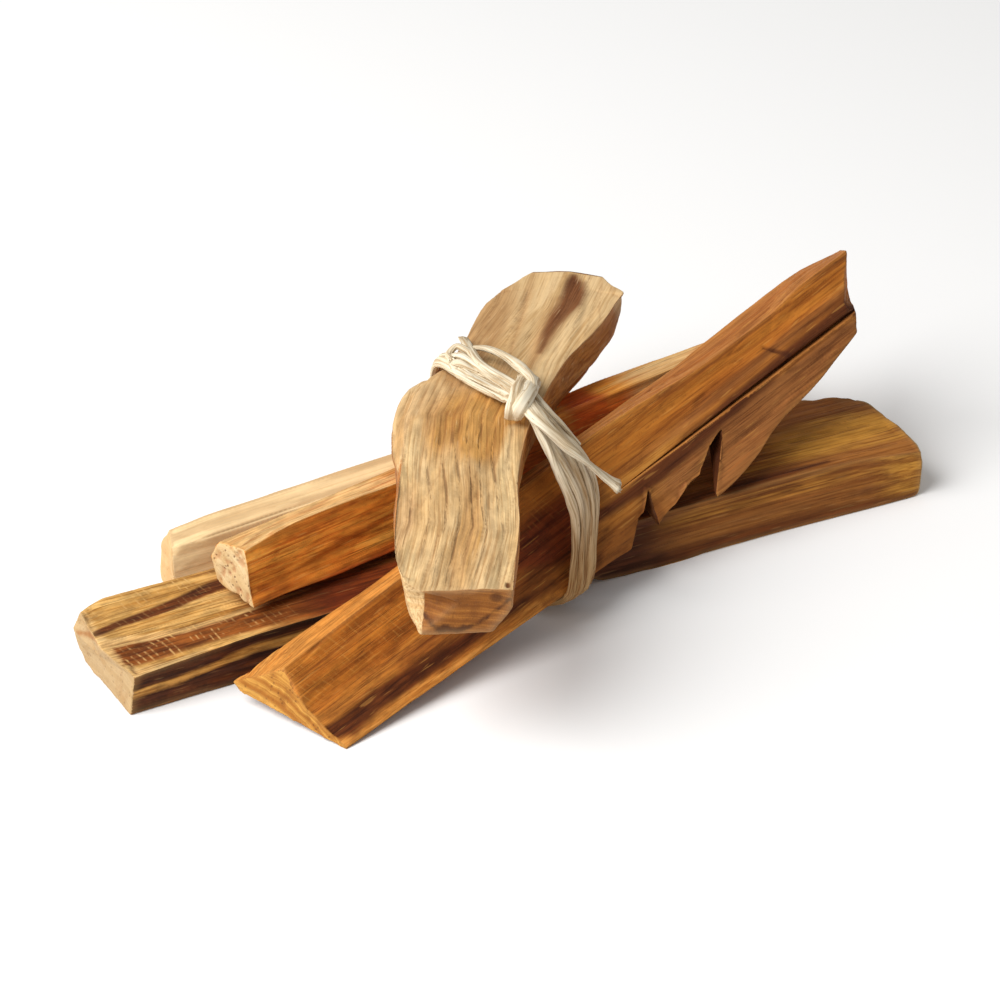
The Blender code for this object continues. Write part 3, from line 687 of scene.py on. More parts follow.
def carve_striped(c):
    """Golden wood with two dark stripes on top, saw strokes at the left end, and a banded near side."""
    x, y, z = c.p.T
    left, right = 1.0 - ease(12.0, 26.0, x), ease(50.0, 64.0, x)
    top, near = c.top, c.near
    c.paint("tan_bed", top * left * 0.9)
    c.paint("brown_far", top * (1.0 - left) * 0.9)
    c.stripe("light_line", top, [(-3, 7.2), (1.7, 6.9), (9.9, 5.7), (17.6, 6.1), (30, 6.8)],
             (1.5, 1.4, 1.1, 0.9, 0.3))
    c.stripe("light_line", top, [(-3, 1.0), (5, 1.1), (11, 1.4)], (2.4, 1.5, 0.3), 0.6)
    c.spot("light_line", top, (0.6, 8.0), (1.1, 7.6), 0.6, share=0.8)
    c.spot("light_line", top, (1.4, 1.2), (1.8, 1.6), 0.6)
    c.stripe("saw_band", top, [(-3, 4.6), (2, 4.5), (17, 4.1), (40, 4.2), (60, 4.4)],
             (3.4, 3.6, 3.4, 3.8, 2.4), 0.7)
    c.paint("saw", top * left * (0.15 + 0.75 * c.band([(-3, 4.6), (20, 4.1)], 3.8, 0.8)))
    c.stripe("saw", top * left, [(-3, 13.2), (20, 14.6)], 3.6, 1.0, share=0.9)
    c.spot("saw", top * left, (15.0, 8.6), (3.0, 1.6), share=0.9)
    c.stripe("dark_stripe", top, [(0.3, 9.3), (1.2, 9.5), (3.6, 9.9), (9, 10.5), (15.8, 11.7), (40, 12.4),
                                  (60, 12.6)], (0.7, 1.1, 1.2, 1.5, 2.0, 2.0, 1.4))
    c.stripe("dark_stripe", top, [(60, 3.4), (70, 3.2), (78, 3.1), (85, 3.3), (90, 3.3)],
             (1.6, 2.2, 2.2, 1.4, 0.2), 0.7, share=0.9)
    # A broad soft dark band on the top under the golden stick: painted shadow, in the dark stripe's colours
    c.stripe("dark_stripe", top, [(66, 10.5), (80, 11.5), (92, 12.0)], (5.0, 4.0, 1.0), 2.0, share=0.5)
    # Painted shade over the wood's own dark red: the top is darker red where the orange and golden sticks
    # shade it
    c.paint("dark_red_and_painted_shade", top * ease(16.0, 30.0, x) * (1.0 - ease(44.0, 60.0, x)) * (1.0 - ease(6.4, 8.0, y)))
    c.spot("gold_patch", top, (94, 9.0), (10, 3.6), share=0.9)
    # A golden strip along the right end of the top: the wood's gold, brightened as a painted highlight
    c.stripe("gold_patch", top * right, [(80, 5.6), (102, 5.2)], (1.4, 2.0), 0.8, share=0.5)

    c.paint("dark_side", near * (1.0 - ease(58.0, 76.0, x)))
    c.stripe("side_strip", near, [(-3, 5.6), (4, 5.7), (10, 5.9)], (1.8, 1.2, 0.3), 0.5, "side")
    c.stripe("side_strip", near, [(-3, 2.0), (1, 2.1), (16.3, 3.3), (28, 3.5), (40, 3.4)],
             (0.9, 0.9, 0.8, 0.5, 0.1), 0.4, "side")
    c.paint("brown_far", near * ease(52.0, 70.0, x) * 0.8)
    c.stripe("dark_stripe", near, [(50, 0.2), (80, 0.6), (103, 0.3)], (2.6, 1.6, 0.8), 0.7, "side", 0.8)
    c.stripe("gold_patch", near * right, [(66, 4.4), (84, 4.6), (103, 4.4)], (1.2, 1.6, 2.0), 0.7, "side",
             0.4)
    c.paint("gold_patch", near * ease(92, 99, x) * 0.6)
    c.stripe("end_band", c.start, [(1, 5.4), (6, 6.0), (13, 3.6)], (0.5, 1.1, 0.7), 0.5, "end", 0.7)

    strokes = lattice_noise(np.column_stack([x * 2.2 + y * 0.6, y * 0.2, z * 0.2]), 402)
    c.height -= (top * (0.4 + 0.6 * left)) * 0.035 * ease(0.0, 0.6, strokes)
    for place, radius, depth in (
            ((0.9, 14.2, 5.5), 1.8, 0.1), ((1.5, 0.4, 4.4), 1.5, 0.4), ((-0.1, 14.1, 3.7), 2.2, 0.1),
            ((0.5, 13.6, 0.0), 1.8, 0.35), ((101.8, 0.8, 5.4), 1.6, 0.35), ((101.0, -0.2, 0.0), 1.2, 0.2),
            ((101.7, 14.7, 6.0), 1.6, 0.3), ((96.4, 17.2, 6.2), 2.0, 0.3)):
        c.knock(place, radius, depth)


def carve_pale(c):
    """Plain pinkish tan wood with faint lines and one thin crack on top."""
    sides = 1.0 - c.ends
    # The sides are the wood's honey colour, lightened as painted light, and the near side is painted bright
    # peach as painted light
    c.paint("honey_edge", (1.0 - c.top) * sides * (1.0 - 0.6 * ease(30, 50, c.p[:, 0])))
    c.paint("painted_light_peach", ease(0.15, 0.5, -c.n[:, 1]) * sides)
    c.stripe("grey_line", c.top, [(6, 8.2), (30, 8.6), (60, 8.8)], (0.5, 0.8, 0.6), 0.6, share=0.4)
    c.cut([(3.4, 0.6), (5.0, 0.55), (9.1, 0.7), (15, 0.9), (19, 0.8)], (0.2, 0.6, 0.5, 0.4, 0.1), 0.25, c.top,
          colour=0.6)
    c.cut([(30, 5.0), (48, 5.3), (70, 5.0)], (0.1, 0.5, 0.1), 0.3, c.far, "side")
    c.height *= 0.4 + 0.6 * c.ends
    c.knock((0.0, 0.8, 7.4), 1.8, 0.5)
    c.knock((0.0, 6.0, 7.6), 2.4, 0.8)


def carve_orange(c):
    """Saturated orange heart on the sides, pale straw on top, and a cream end full of pits."""
    x, y, z = c.p.T
    top = ease(0.45, 0.8, c.n[:, 2])
    side, along = c.near * (1.0 - top), 1.0 - c.ends
    streak = lattice_noise(np.column_stack([x * 0.04, (z - 0.11 * x) * 0.75, y * 0.2]), 77)
    c.paint("straw_top", top * (1.0 - 0.85 * ease(14, 34, x)))
    c.paint("straw_top", along * ease(52, 60, x) * 0.75)
    c.paint("golden_streak", side * ease(0.0, 0.5, -streak) * 0.9)
    c.paint("dark_streaks", side * ease(0.2, 0.6, streak) * 0.8)
    c.stripe("dark_streaks", side, [(1.6, 1.7), (6.7, 2.1), (13.8, 2.9), (19, 3.3), (30, 4.2)],
             (0.3, 0.6, 0.7, 0.6, 0.3), 0.4, "side")
    c.stripe("dark_streaks", side, [(0, 6.2), (14, 6.0), (40, 6.0)], (0.8, 1.0, 0.8), 0.6, "side", 0.7)
    # Painted shade over the wood's red: the side is painted darker red along its foot and towards the right
    # end
    c.stripe("red_foot_and_painted_shade", side, [(-1, -0.4), (18, 0.0), (40, 0.6), (78, 0.6)], (0.8, 1.4, 3.0, 3.0), 0.8,
             "side")
    c.paint("red_foot_and_painted_shade", side * ease(14, 34, x) * 0.6)
    # Painted shadow of the cross stick, on the orange stick beside it
    c.spot("red_foot_and_painted_shade", along * (1.0 - ease(0.1, 0.5, c.n[:, 1])), (49.5, 3.0), (3.2, 6.0), 0.6, share=0.9)

    pits = c.start * ease(0.30, 0.50, c.noise((0.6, 1.6, 1.6), 45, 1))
    c.height -= pits * 0.18
    # Painted shade in the pits
    c.paint("hollow", pits * 0.6)
    c.height -= 0.2 * c.band([(-1, 0.2), (78, 0.2)], 1.0, 0.5, "side") * side * \
        ease(-0.1, 0.4, c.noise((0.3, 0.3, 0.3), 47, 2))


def carve_golden(c):
    """Golden wood, split rough: a bright far slope, a near slope with a long dark crack, torn tongues."""
    x, y, z = c.p.T
    along, leaning = 1.0 - c.ends, -c.n[:, 1]
    slope = ease(0.15, 0.5, leaning) * along
    far = (1.0 - ease(0.0, 0.35, leaning)) * ease(0.1, 0.4, c.n[:, 2]) * along
    left, right = 1.0 - ease(26, 48, x), ease(42, 62, x)
    c.paint("far_slope", far)
    c.paint("foot_strip", far * left * 0.9)
    # The far slope is greyer and darker towards the right end: the wood's grey with painted shade
    c.paint("grey_slope", far * right * 0.5)
    c.stripe("under_ridge", slope, [(-2, 7.0), (30, 7.6), (60, 7.6), (92, 7.8)], (5.0, 4.2, 2.6, 2.2), 1.2)
    c.stripe("grey_slope", slope * right, [(40, 1.8), (60, 1.6), (92, 1.6)], 5.4, 0.6)
    c.stripe("grey_slope", slope * right, [(50, 5.8), (64, 6.2), (80, 6.6), (92, 6.8)], (0.8, 1.4, 1.6, 1.8),
             0.8, share=0.7)
    c.stripe("dark_line", slope * left,
             [(-2, 2.4), (0.2, 2.2), (2.1, 1.9), (7.5, 2.3), (13.2, 2.1), (20.6, 2.0), (34, 1.8)],
             (1.6, 1.9, 2.0, 1.8, 1.7, 1.4, 0.8), 0.7)
    c.stripe("dark_line", slope * left, [(0, 5.2), (14, 5.4), (30, 5.6)], (0.3, 0.6, 0.3), share=0.5)
    # A dark line along the crack: painted shade under the step where the upper layer overlaps the lower
    c.stripe("dark_line", slope,
             [(42, 4.0), (50, 3.8), (57, 4.0), (61, 4.3), (67, 4.6), (78, 5.1), (92, 5.4)],
             (0.4, 1.2, 1.5, 1.6, 1.6, 1.5, 1.3), 0.6, share=0.9)
    c.stripe("dark_line", slope, [(38, 0.4), (50, 1.6)], (3.0, 3.0), 1.0, share=0.45)
    c.stripe("foot_strip", slope, [(-2, 0.2), (10, 0.4), (30, 0.4)], (1.8, 2.0, 1.6), 0.6)
    # Painted shadow: the slope under the cross stick, next to the tie, is painted dark red
    c.stripe("dark_red_and_painted_shade", slope, [(30, 5.4), (37, 5.0), (41, 5.4)], (2.0, 5.0, 4.0), 1.6)
    c.stripe("saw", slope * left, [(-2, 7.4), (40, 7.6)], 4.6, 1.2, share=0.3)

    # The long crack is a deep groove in the solid: it is made shallower along the slope's own normal,
    # gets painted shade inside, and is kept clear of the splinters round it
    crack = [(44, 4.7), (92, 4.7)]
    within = c.band(crack, 2.4, 0.6, ragged=0.0) * ease(43.0, 47.0, x) * ease(0.15, 0.4, z)
    depth = np.clip(HALF_ROOT * (y - z - 3.3), 0.0, None) * within
    c.shift += (0.6 * depth)[:, None] * np.array([0.0, -HALF_ROOT, HALF_ROOT])
    c.paint("crack", ease(0.05, 0.5, depth) * 0.3)
    # Painted shadow: the inner walls of the torn part that face the left end are painted dark
    c.paint("crack", ease(0.35, 0.7, -c.n[:, 0]) * ease(38.0, 42.0, x) * (1.0 - ease(86.0, 90.0, x)) * 0.75)
    c.cut([(76.0, 7.0), (76.9, 6.0), (77.8, 5.1)], (0.3, 0.6, 1.0), 0.25, slope, colour=0.6, ragged=0.05)
    c.height += 0.12 * c.noise((0.09, 1.0, 1.0), 53, 3) * (1.0 - 0.5 * slope)
    c.height *= 1.0 - c.band([(46, 4.7), (92, 4.7)], 2.0, 0.5, ragged=0.0) * along
    c.height += 0.22 * c.start * c.noise((0.4, 0.7, 0.7), 55, 3)


def carve_cross(c):
    """Pale straw wood, wavy and fibrous on top, with a brown side and a ringed near end."""
    x, y, z = c.p.T
    # The grain follows the bend of the stick
    c.grain[:, 1] -= np.interp(x, [0, 12, 24, 36, 50, 64, 80], [0.0, 0.6, 2.6, 4.4, 3.4, 0.8, -0.6])
    c.grain[:, 1] += 0.7 * c.noise((0.05, 0.2, 0.2), 61, 2)
    straw = ease(*FACES, c.n[:, 2])
    low = 1.0 - ease(36, 42, x)
    near, beyond = straw * low, straw * (1.0 - low)
    c.paint("straw", straw)
    c.spot("honey", straw, (34.0, 8.6), (9.0, 6.0), 0.7, share=0.95)
    c.paint("honey", near * ease(0.1, 0.6, c.noise((0.03, 0.35, 0.35), 62, 2)) * 0.5)
    c.spot("flow", straw, (18, 8.6), (19, 5.6), 0.4)
    c.stripe("light_edge", near, [(0, 10.6), (10, 13.6), (20, 15.0), (34, 16.4)], 1.6, 0.8, share=0.8)
    c.stripe("light_edge", near, [(0, 1.6), (14, 3.0), (24, 4.6), (34, 5.0)], 2.2, 0.8, share=0.8)
    c.spot("pink_left", straw, (12, 15.0), (9, 3.0), share=0.5)
    c.spot("left_tan", beyond, (60, 14.5), (16, 4.6))
    c.spot("left_tan", straw, (37, 16.5), (8, 3), share=0.4)
    c.stripe("left_tan", beyond, [(46, 8.2), (60, 8.6), (76, 8.8)], (1.4, 1.4, 1.0), 1.0, share=0.6)
    c.stripe("left_tan", straw, [(66, 4.4), (61.6, 4.6), (57, 5.0), (48, 5.6)], (2.2, 3.0, 2.6, 1.0), 1.2,
             share=0.8)
    c.stripe("pink_stripe", straw,
             [(72.4, 3.9), (71.0, 3.7), (68, 3.4), (65.2, 3.3), (61.6, 4.2), (57.8, 4.7), (52, 5.0)],
             (1.1, 2.2, 2.6, 2.4, 1.8, 1.1, 0.2), 1.3, ragged=0.3)
    pale_corner = (1.0 - straw) * ease(63, 69, x) * ease(1.8, 4.0, z)
    c.paint("brown_side", (1.0 - straw) * (1.0 - c.ends) * (1.0 - 0.9 * pale_corner))
    c.paint("straw", pale_corner * 0.8)

    furrow = c.noise((0.045, 0.62, 0.62), 63, 2)
    thread = c.noise((0.07, 1.5, 1.5), 64, 2)
    c.height += straw * (0.45 + 0.55 * low) * (0.26 * furrow + 0.12 * thread - 0.10)
    line = c.lines((0.022, 0.40, 0.40), 66, 0.16, 1) * ease(-0.2, 0.3, c.noise((0.05, 0.14, 0.14), 67, 1))
    c.height -= near * line * 0.13
    # Painted shade in the grooves
    c.paint("crack", near * line * 0.08)

    # A pale sliver runs on over the near end, which is ringed, and has one small hole above
    sliver = ease(9.2, 9.8, y) * (1.0 - ease(4.0, 8.0, x))
    c.paint("straw", sliver)
    c.masks["end"] *= 1.0 - sliver
    c.stripe("end_band", c.start, [(11.4, 3.2), (9.8, 2.3), (7.9, 0.9), (5.5, 0.8), (3.7, 1.4), (1.7, 3.1),
                                   (0.6, 4.2)], (0.3, 0.5, 0.7, 0.5, 0.4, 0.3, 0.2), 0.4, "end", 0.85)
    c.paint("end_band", c.start * (1.0 - ease(0.2, 1.6, z)) * 0.35)
    c.spot("end_band", c.start, (1.9, 4.4), (0.8, 0.6), plane="end", share=0.6)
    c.knock((72.0, -2.2, 2.6), 3.4, 0.9)
    c.knock((69.0, -2.3, 5.1), 2.6, -0.3)
    c.cut([(1.0, 0.9), (1.6, 1.0)], 0.7, 0.25, straw)


SHADES = {
    "striped_stick": {
        "seed": 3, "pith": (7.0, -16.0), "ring": 0.42, "seams": 0.4, "pores": 0.3, "flecks": 0.12,
        "mottle": 0.22, "specks": 0.3,
        "tones": (srgb(120, 66, 26), srgb(158, 98, 42), srgb(188, 132, 66), srgb(210, 162, 92)),
        "crack": srgb(52, 24, 10), "fleck": srgb(216, 172, 108),
        "layers": {
            "tan_bed": (srgb(182, 130, 60), srgb(214, 171, 103), 0.8),
            "brown_far": (srgb(126, 72, 26), srgb(158, 100, 42), 0.6),
            "gold_patch": (srgb(182, 122, 42), srgb(206, 148, 60), 0.8),
            "saw_band": (srgb(104, 52, 16), srgb(146, 82, 30), 0.8),
            "light_line": (srgb(206, 162, 100), srgb(224, 188, 130), 0.8),
            "dark_stripe": (srgb(72, 32, 8), srgb(112, 58, 20), 0.7),
            "dark_red_and_painted_shade": (srgb(90, 34, 10), srgb(126, 57, 18), 0.6),
            "dark_side": (srgb(60, 25, 8), srgb(90, 44, 16), 0.6),
            "side_strip": (srgb(172, 116, 50), srgb(198, 146, 74), 0.8)},
        "end": (srgb(172, 142, 100), srgb(184, 156, 116), srgb(160, 120, 74)), "end_band": srgb(150, 92, 42),
    },
    "pale_stick": {
        "seed": 5, "pith": (3.0, -20.0), "ring": 0.45, "contrast": 0.40, "pores": 0.08, "seams": 0.04,
        "flecks": 0.08, "hollows": 0.2, "mottle": 0.05, "fibres": 0.12, "relief": 0.3,
        "tones": (srgb(200, 163, 116), srgb(207, 173, 126), srgb(212, 180, 134), srgb(220, 190, 145)),
        "crack": srgb(120, 78, 40), "fleck": srgb(224, 196, 152),
        "layers": {
            "honey_edge": (srgb(222, 172, 108), srgb(236, 194, 134), 0.5),
            "painted_light_peach": (srgb(245, 214, 160), srgb(248, 219, 168), 0.2),
            "grey_line": (srgb(176, 138, 96), srgb(190, 154, 110), 0.9)},
        "end": (srgb(201, 160, 106), srgb(213, 174, 122), srgb(194, 148, 92)), "end_band": srgb(200, 150, 90),
    },
    "orange_stick": {
        "seed": 8, "pith": (12.0, -9.0), "ring": 0.55, "seams": 0.5, "pores": 0.35, "flecks": 0.35,
        "specks": 0.85, "mottle": 0.2,
        "tones": (srgb(196, 108, 34), srgb(222, 138, 50), srgb(234, 160, 66), srgb(240, 174, 86)),
        "crack": srgb(92, 46, 18), "fleck": srgb(232, 174, 92),
        "layers": {
            "golden_streak": (srgb(222, 144, 52), srgb(236, 168, 74), 0.7),
            "dark_streaks": (srgb(166, 88, 24), srgb(196, 116, 38), 0.8),
            "red_foot_and_painted_shade": (srgb(184, 72, 20), srgb(212, 100, 32), 0.8),
            "straw_top": (srgb(204, 156, 96), srgb(222, 182, 124), 0.7)},
        "end": (srgb(200, 170, 124), srgb(212, 188, 146), srgb(188, 148, 96)), "end_band": srgb(180, 130, 70),
    },
    "golden_stick": {
        "seed": 13, "pith": (14.0, -12.0), "ring": 0.5, "seams": 0.4, "pores": 0.3, "flecks": 0.3,
        "mottle": 0.18,
        "tones": (srgb(118, 62, 22), srgb(152, 90, 34), srgb(180, 114, 44), srgb(202, 140, 62)),
        "crack": srgb(70, 32, 14), "fleck": srgb(216, 156, 78),
        "layers": {
            "far_slope": (srgb(170, 100, 42), srgb(194, 128, 64), 0.5),
            "grey_slope": (srgb(140, 84, 40), srgb(162, 104, 54), 0.5),
            "under_ridge": (srgb(164, 92, 28), srgb(188, 116, 40), 0.7),
            "foot_strip": (srgb(188, 118, 46), srgb(212, 146, 70), 0.6),
            "dark_line": (srgb(72, 32, 10), srgb(104, 54, 22), 0.8),
            "dark_red_and_painted_shade": (srgb(98, 38, 14), srgb(128, 58, 22), 0.5)},
        "end": (srgb(158, 98, 34), srgb(212, 158, 74), srgb(138, 80, 26)), "end_band": srgb(120, 64, 24),
        "specks": 0.5,
    },
    "cross_stick": {
        "seed": 21, "pith": (8.0, -24.0), "ring": 0.55, "sway": 1.6, "seams": 0.25, "pores": 0.15,
        "flecks": 0.25, "contrast": 0.17, "hollows": 0.55, "mottle": 0.12,
        "tones": (srgb(158, 108, 60), srgb(186, 140, 86), srgb(204, 166, 114), srgb(218, 186, 138)),
        "crack": srgb(104, 64, 32), "fleck": srgb(226, 196, 150),
        "layers": {
            "brown_side": (srgb(156, 94, 38), srgb(184, 120, 56), 0.6),
            "straw": (srgb(198, 160, 108), srgb(218, 186, 138), 0.5),
            "honey": (srgb(176, 122, 60), srgb(196, 146, 80), 0.7),
            "light_edge": (srgb(205, 170, 117), srgb(221, 191, 142), 0.5),
            "pink_left": (srgb(206, 158, 114), srgb(220, 178, 134), 0.6),
            "left_tan": (srgb(170, 128, 82), srgb(188, 148, 100), 0.8),
            "pink_stripe": (srgb(90, 48, 21), srgb(121, 74, 39), 0.6)},
        "end": (srgb(132, 78, 30), srgb(168, 108, 46), srgb(112, 64, 26)), "end_band": srgb(62, 30, 14),
    },
}
CARVERS = {"striped_stick": carve_striped, "pale_stick": carve_pale, "orange_stick": carve_orange,
           "golden_stick": carve_golden, "cross_stick": carve_cross}


def make_stick(node):
    """Carves one stick, which stands for its CAD node."""
    settings = bpy.context.scene.palo_santo.wood
    look = SHADES[node]
    mesh = fine_copy(node, settings.grain_step)
    carving = Carving(mesh, look["seed"])
    for name in ("crack", "hollow", "edge", "end", "end_band", "saw", "flow", *look["layers"]):
        carving.paint(name, 0.0)
    carving.split_faces(settings.fibre_depth)
    carving.rough_ends()
    CARVERS[node](carving)
    carving.wear_edges()
    carving.write(mesh, stick_matrix(node))
    material = wood(node + "_palo_santo", look, tuple(getattr(settings, node.replace("_stick", "_tint"))))
    add_piece(node + "_wood", mesh, material, node)


# ---------------------------------------------------------------- raffia


TIE_TURN = math.radians(13.0)      # direction of the bundle's axis at the tie, in plan
TIE_PLACE = 1.4                    # where the middle of the winding sits on that axis
TIE_CENTRE = (2.0, 11.0)           # the middle of the wound bundle, as (sideways, height)
TIE_AXIS = np.array([math.cos(TIE_TURN), math.sin(TIE_TURN), 0.0])
TIE_SIDEWAYS = np.array([-math.sin(TIE_TURN), math.cos(TIE_TURN), 0.0])
UP = np.array([0.0, 0.0, 1.0])
# How far the winding leans along the axis, as (degrees round the tie's centre, millimetres)
TIE_LEAN = ((20.0, 4.6), (35.0, 3.6), (45.0, 2.9), (65.0, 2.4), (90.0, 3.0), (110.0, 3.3), (130.0, 3.6),
            (160.0, 4.1), (180.0, 3.6), (190.0, 2.5), (200.0, -0.4), (208.0, -2.4), (235.0, -3.4),
            (280.0, -0.6), (325.0, 3.4), (350.0, 4.8))
# How far apart neighbouring turns lie: close together at the knot, spread out in front
TURN_SPACING = ((15.0, 0.4), (35.0, 0.45), (48.0, 0.7), (70.0, 0.7), (92.0, 0.45), (110.0, 0.7), (130.0, 1.1),
                (160.0, 1.4), (180.0, 1.05), (200.0, 0.8), (215.0, 0.7), (250.0, 0.7), (330.0, 0.5))
TURNS = 5
FIRST_ANGLE = 92.0                 # where the winding starts, in degrees round the tie's centre
TIE_CLEARANCE = 0.32               # between the wood and the middle of a strand's back
SPAN_THAT_BOWS = 9.0               # a free span in front that is longer than this bows outward
SPAN_BOW = 0.9
# Painted shade on the strands fades out between these heights
SHADED = (4.0, 20.5)               # heights between which the strands grow lighter
KNOT_PLACE = np.array([3.6, 2.2, 20.95])
# The knot's own strands: width, thickness and places in millimetres
KNOT_STRANDS = {
    "bow_outer": (1.15, 0.75, ((4.8, 15.3, 20.9), (5.5, 14.2, 21.2), (6.1, 12.4, 21.4), (6.3, 10.5, 21.6),
        (6.4, 8.1, 21.8), (6.2, 5.6, 22.0), (5.9, 3.4, 22.1), (5.3, 2.2, 21.8), (4.8, 1.9, 21.2))),
    "bow_middle": (1.25, 0.75, ((5.7, 19.5, 19.9), (4.5, 16.2, 20.8), (3.7, 13.5, 21.1),
        (3.3, 11.0, 21.2), (3.5, 9.0, 21.2), (3.8, 7.0, 21.3), (4.1, 4.8, 21.4), (4.4, 3.2, 21.2))),
    "bow_inner": (1.05, 0.7, ((1.6, 14.9, 20.6), (2.2, 14.5, 20.9), (2.6, 13.5, 21.0), (2.8, 11.7, 21.0),
        (2.9, 9.5, 21.1), (3.1, 6.8, 21.2), (3.4, 4.5, 21.2), (3.7, 2.9, 21.0))),
    "curl_a": (0.85, 0.7, ((3.9, 14.1, 20.9), (3.3, 14.9, 21.3), (2.8, 15.7, 21.4), (2.1, 15.7, 21.1),
        (1.5, 15.3, 20.8), (1.3, 14.3, 20.8))),
    "curl_b": (0.9, 0.7, ((2.7, 9.9, 20.7), (2.1, 10.9, 20.9), (1.6, 11.9, 21.1), (1.2, 12.8, 21.0),
        (0.8, 12.8, 20.6), (1.1, 12.2, 20.4))),
    "side_strand": (0.6, 0.4, ((6.0, 4.0, 20.9), (5.6, 1.6, 20.9), (5.9, -0.3, 20.2), (6.9, -1.3, 18.8),
        (8.0, -1.8, 17.2), (9.0, -2.0, 15.8))),
    "tail": (1.85, 0.95, ((3.9, 2.1, 21.2), (3.1, -0.9, 21.6), (3.2, -3.6, 21.0), (4.4, -5.7, 19.3),
        (6.2, -7.1, 17.4), (8.2, -8.0, 15.3), (10.0, -9.1, 13.6))),
    "wrap_a": (1.45, 0.9, ((7.5, 7.9, 20.2), (5.8, 5.4, 21.3), (3.4, 2.2, 22.3), (1.9, 0.1, 22.3),
        (1.0, -0.9, 21.6), (1.2, -0.4, 20.3))),
    "wrap_b": (1.45, 0.9, ((7.7, 6.1, 20.4), (5.8, 3.2, 21.6), (3.8, 0.3, 22.5), (2.4, -1.1, 22.5),
        (1.6, -1.5, 21.9), (1.6, -0.5, 20.5))),
}


def round_the_tie(angle, table):
    """A smoothed value of a table of (degrees, value) at each angle."""
    angles, values = zip(*table)
    shifts = (-12.0, -6.0, 0.0, 6.0, 12.0)
    return sum(np.interp(angle + shift, angles, values, period=360.0) for shift in shifts) / len(shifts)


def convex_outline(points):
    """The convex hull of flat points, counter-clockwise."""
    ordered = sorted(map(tuple, points))

    def half(sequence):
        chain = []
        for p in sequence:
            while len(chain) > 1:
                (ax, ay), (bx, by) = chain[-2], chain[-1]
                if (bx - ax) * (p[1] - ay) - (by - ay) * (p[0] - ax) > 1e-9:
                    break
                chain.pop()
            chain.append(p)
        return chain[:-1]

    return np.array(half(ordered) + half(reversed(ordered)))


class Girth:
    """How far the bundle reaches from the tie's centre, in every direction and at several places."""

    PLACES = np.arange(-4.5, 4.6, 0.75)
    ANGLES = np.arange(0.0, 360.0, 3.0)

    def __init__(self):
        self.sticks = []
        for node in STICK_PLACES:
            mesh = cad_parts[node].data
            points = read_vectors(mesh.vertices, "co", len(mesh.vertices)) / MM - np.array(CENTRING)
            self.sticks.append((points, read_edges(mesh)))
        self.table = np.array([self.radii(TIE_PLACE + place) for place in self.PLACES])

    def radii(self, place):
        """How far a taut strand runs from the centre at each angle, where the winding crosses the axis."""
        found = []
        for points, edges in self.sticks:
            flat = np.column_stack([points @ TIE_SIDEWAYS, points[:, 2]])
            angle = np.degrees(np.arctan2(flat[:, 1] - TIE_CENTRE[1], flat[:, 0] - TIE_CENTRE[0]))
            ahead = points @ TIE_AXIS - place - round_the_tie(angle, TIE_LEAN)
            a, b = edges.T
            crossing = ahead[a] * ahead[b] < 0.0
            a, b = a[crossing], b[crossing]
            share = (ahead[a] / (ahead[a] - ahead[b]))[:, None]
            found.append(flat[a] + share * (flat[b] - flat[a]))
        hull = convex_outline(np.vstack(found)) - np.array(TIE_CENTRE)
        run = np.roll(hull, -1, axis=0) - hull
        length = np.linalg.norm(run, axis=1)
        normal = np.column_stack([run[:, 1], -run[:, 0]]) / length[:, None]
        offset = (normal * hull).sum(axis=1) + TIE_CLEARANCE
        way = np.column_stack([np.cos(np.radians(self.ANGLES)), np.sin(np.radians(self.ANGLES))])
        facing = way @ normal.T
        reach = np.where(facing > 1e-6, offset / np.maximum(facing, 1e-6), np.inf)
        nearest = reach.argmin(axis=1)
        radius = reach.min(axis=1)
        met = way * radius[:, None] - hull[nearest]
        share = (met * run[nearest]).sum(axis=1) / length[nearest] ** 2
        in_front = (normal[nearest, 0] < 0.0) & (abs(normal[nearest, 1]) < 0.85)
        free = (length[nearest] > SPAN_THAT_BOWS) & in_front
        radius = radius + SPAN_BOW * np.sin(np.pi * np.clip(share, 0.0, 1.0)) * free
        for _ in range(2):
            radius = 0.5 * radius + 0.25 * (np.roll(radius, 1) + np.roll(radius, -1))
        return radius

    def at(self, place, angle):
        """Radius at places along the axis and angles round it, both arrays."""
        row = (place - self.PLACES[0]) / (self.PLACES[1] - self.PLACES[0])
        row = np.clip(row, 0, len(self.PLACES) - 1.001)
        column = (angle % 360.0) / (self.ANGLES[1] - self.ANGLES[0])
        r, c = row.astype(int), column.astype(int)
        fr, fc = row - r, column - c
        after = (c + 1) % len(self.ANGLES)
        near = self.table[r, c] * (1 - fc) + self.table[r, after] * fc
        far = self.table[r + 1, c] * (1 - fc) + self.table[r + 1, after] * fc
        return near * (1 - fr) + far * fr


def evenly(points, step):
    """The same curve as points a constant step apart."""
    run = distance_along(points)
    at = np.linspace(0.0, run[-1], max(4, int(run[-1] / step)) + 1)
    return np.column_stack([np.interp(at, run, points[:, k]) for k in range(3)])


def smooth_path(places, step=0.28):
    """A smooth curve through a few places."""
    knots = np.array(places, float)
    knots = np.vstack([2 * knots[0] - knots[1], knots, 2 * knots[-1] - knots[-2]])
    t = np.linspace(0.0, 1.0, 20, endpoint=False)[:, None]
    spans = []
    for a, b, c, d in zip(knots[:-3], knots[1:-2], knots[2:-1], knots[3:]):
        spans.append(0.5 * (2 * b + (c - a) * t + (2 * a - 5 * b + 4 * c - d) * t ** 2
                            + (3 * b - a - 3 * c + d) * t ** 3))
    return evenly(np.vstack([*spans, knots[-2][None]]), step)


def wander(run, shift, seed):
    """Noise along a strand."""
    return lattice_noise(np.column_stack([run, np.full_like(run, shift), np.zeros_like(run)]), seed)


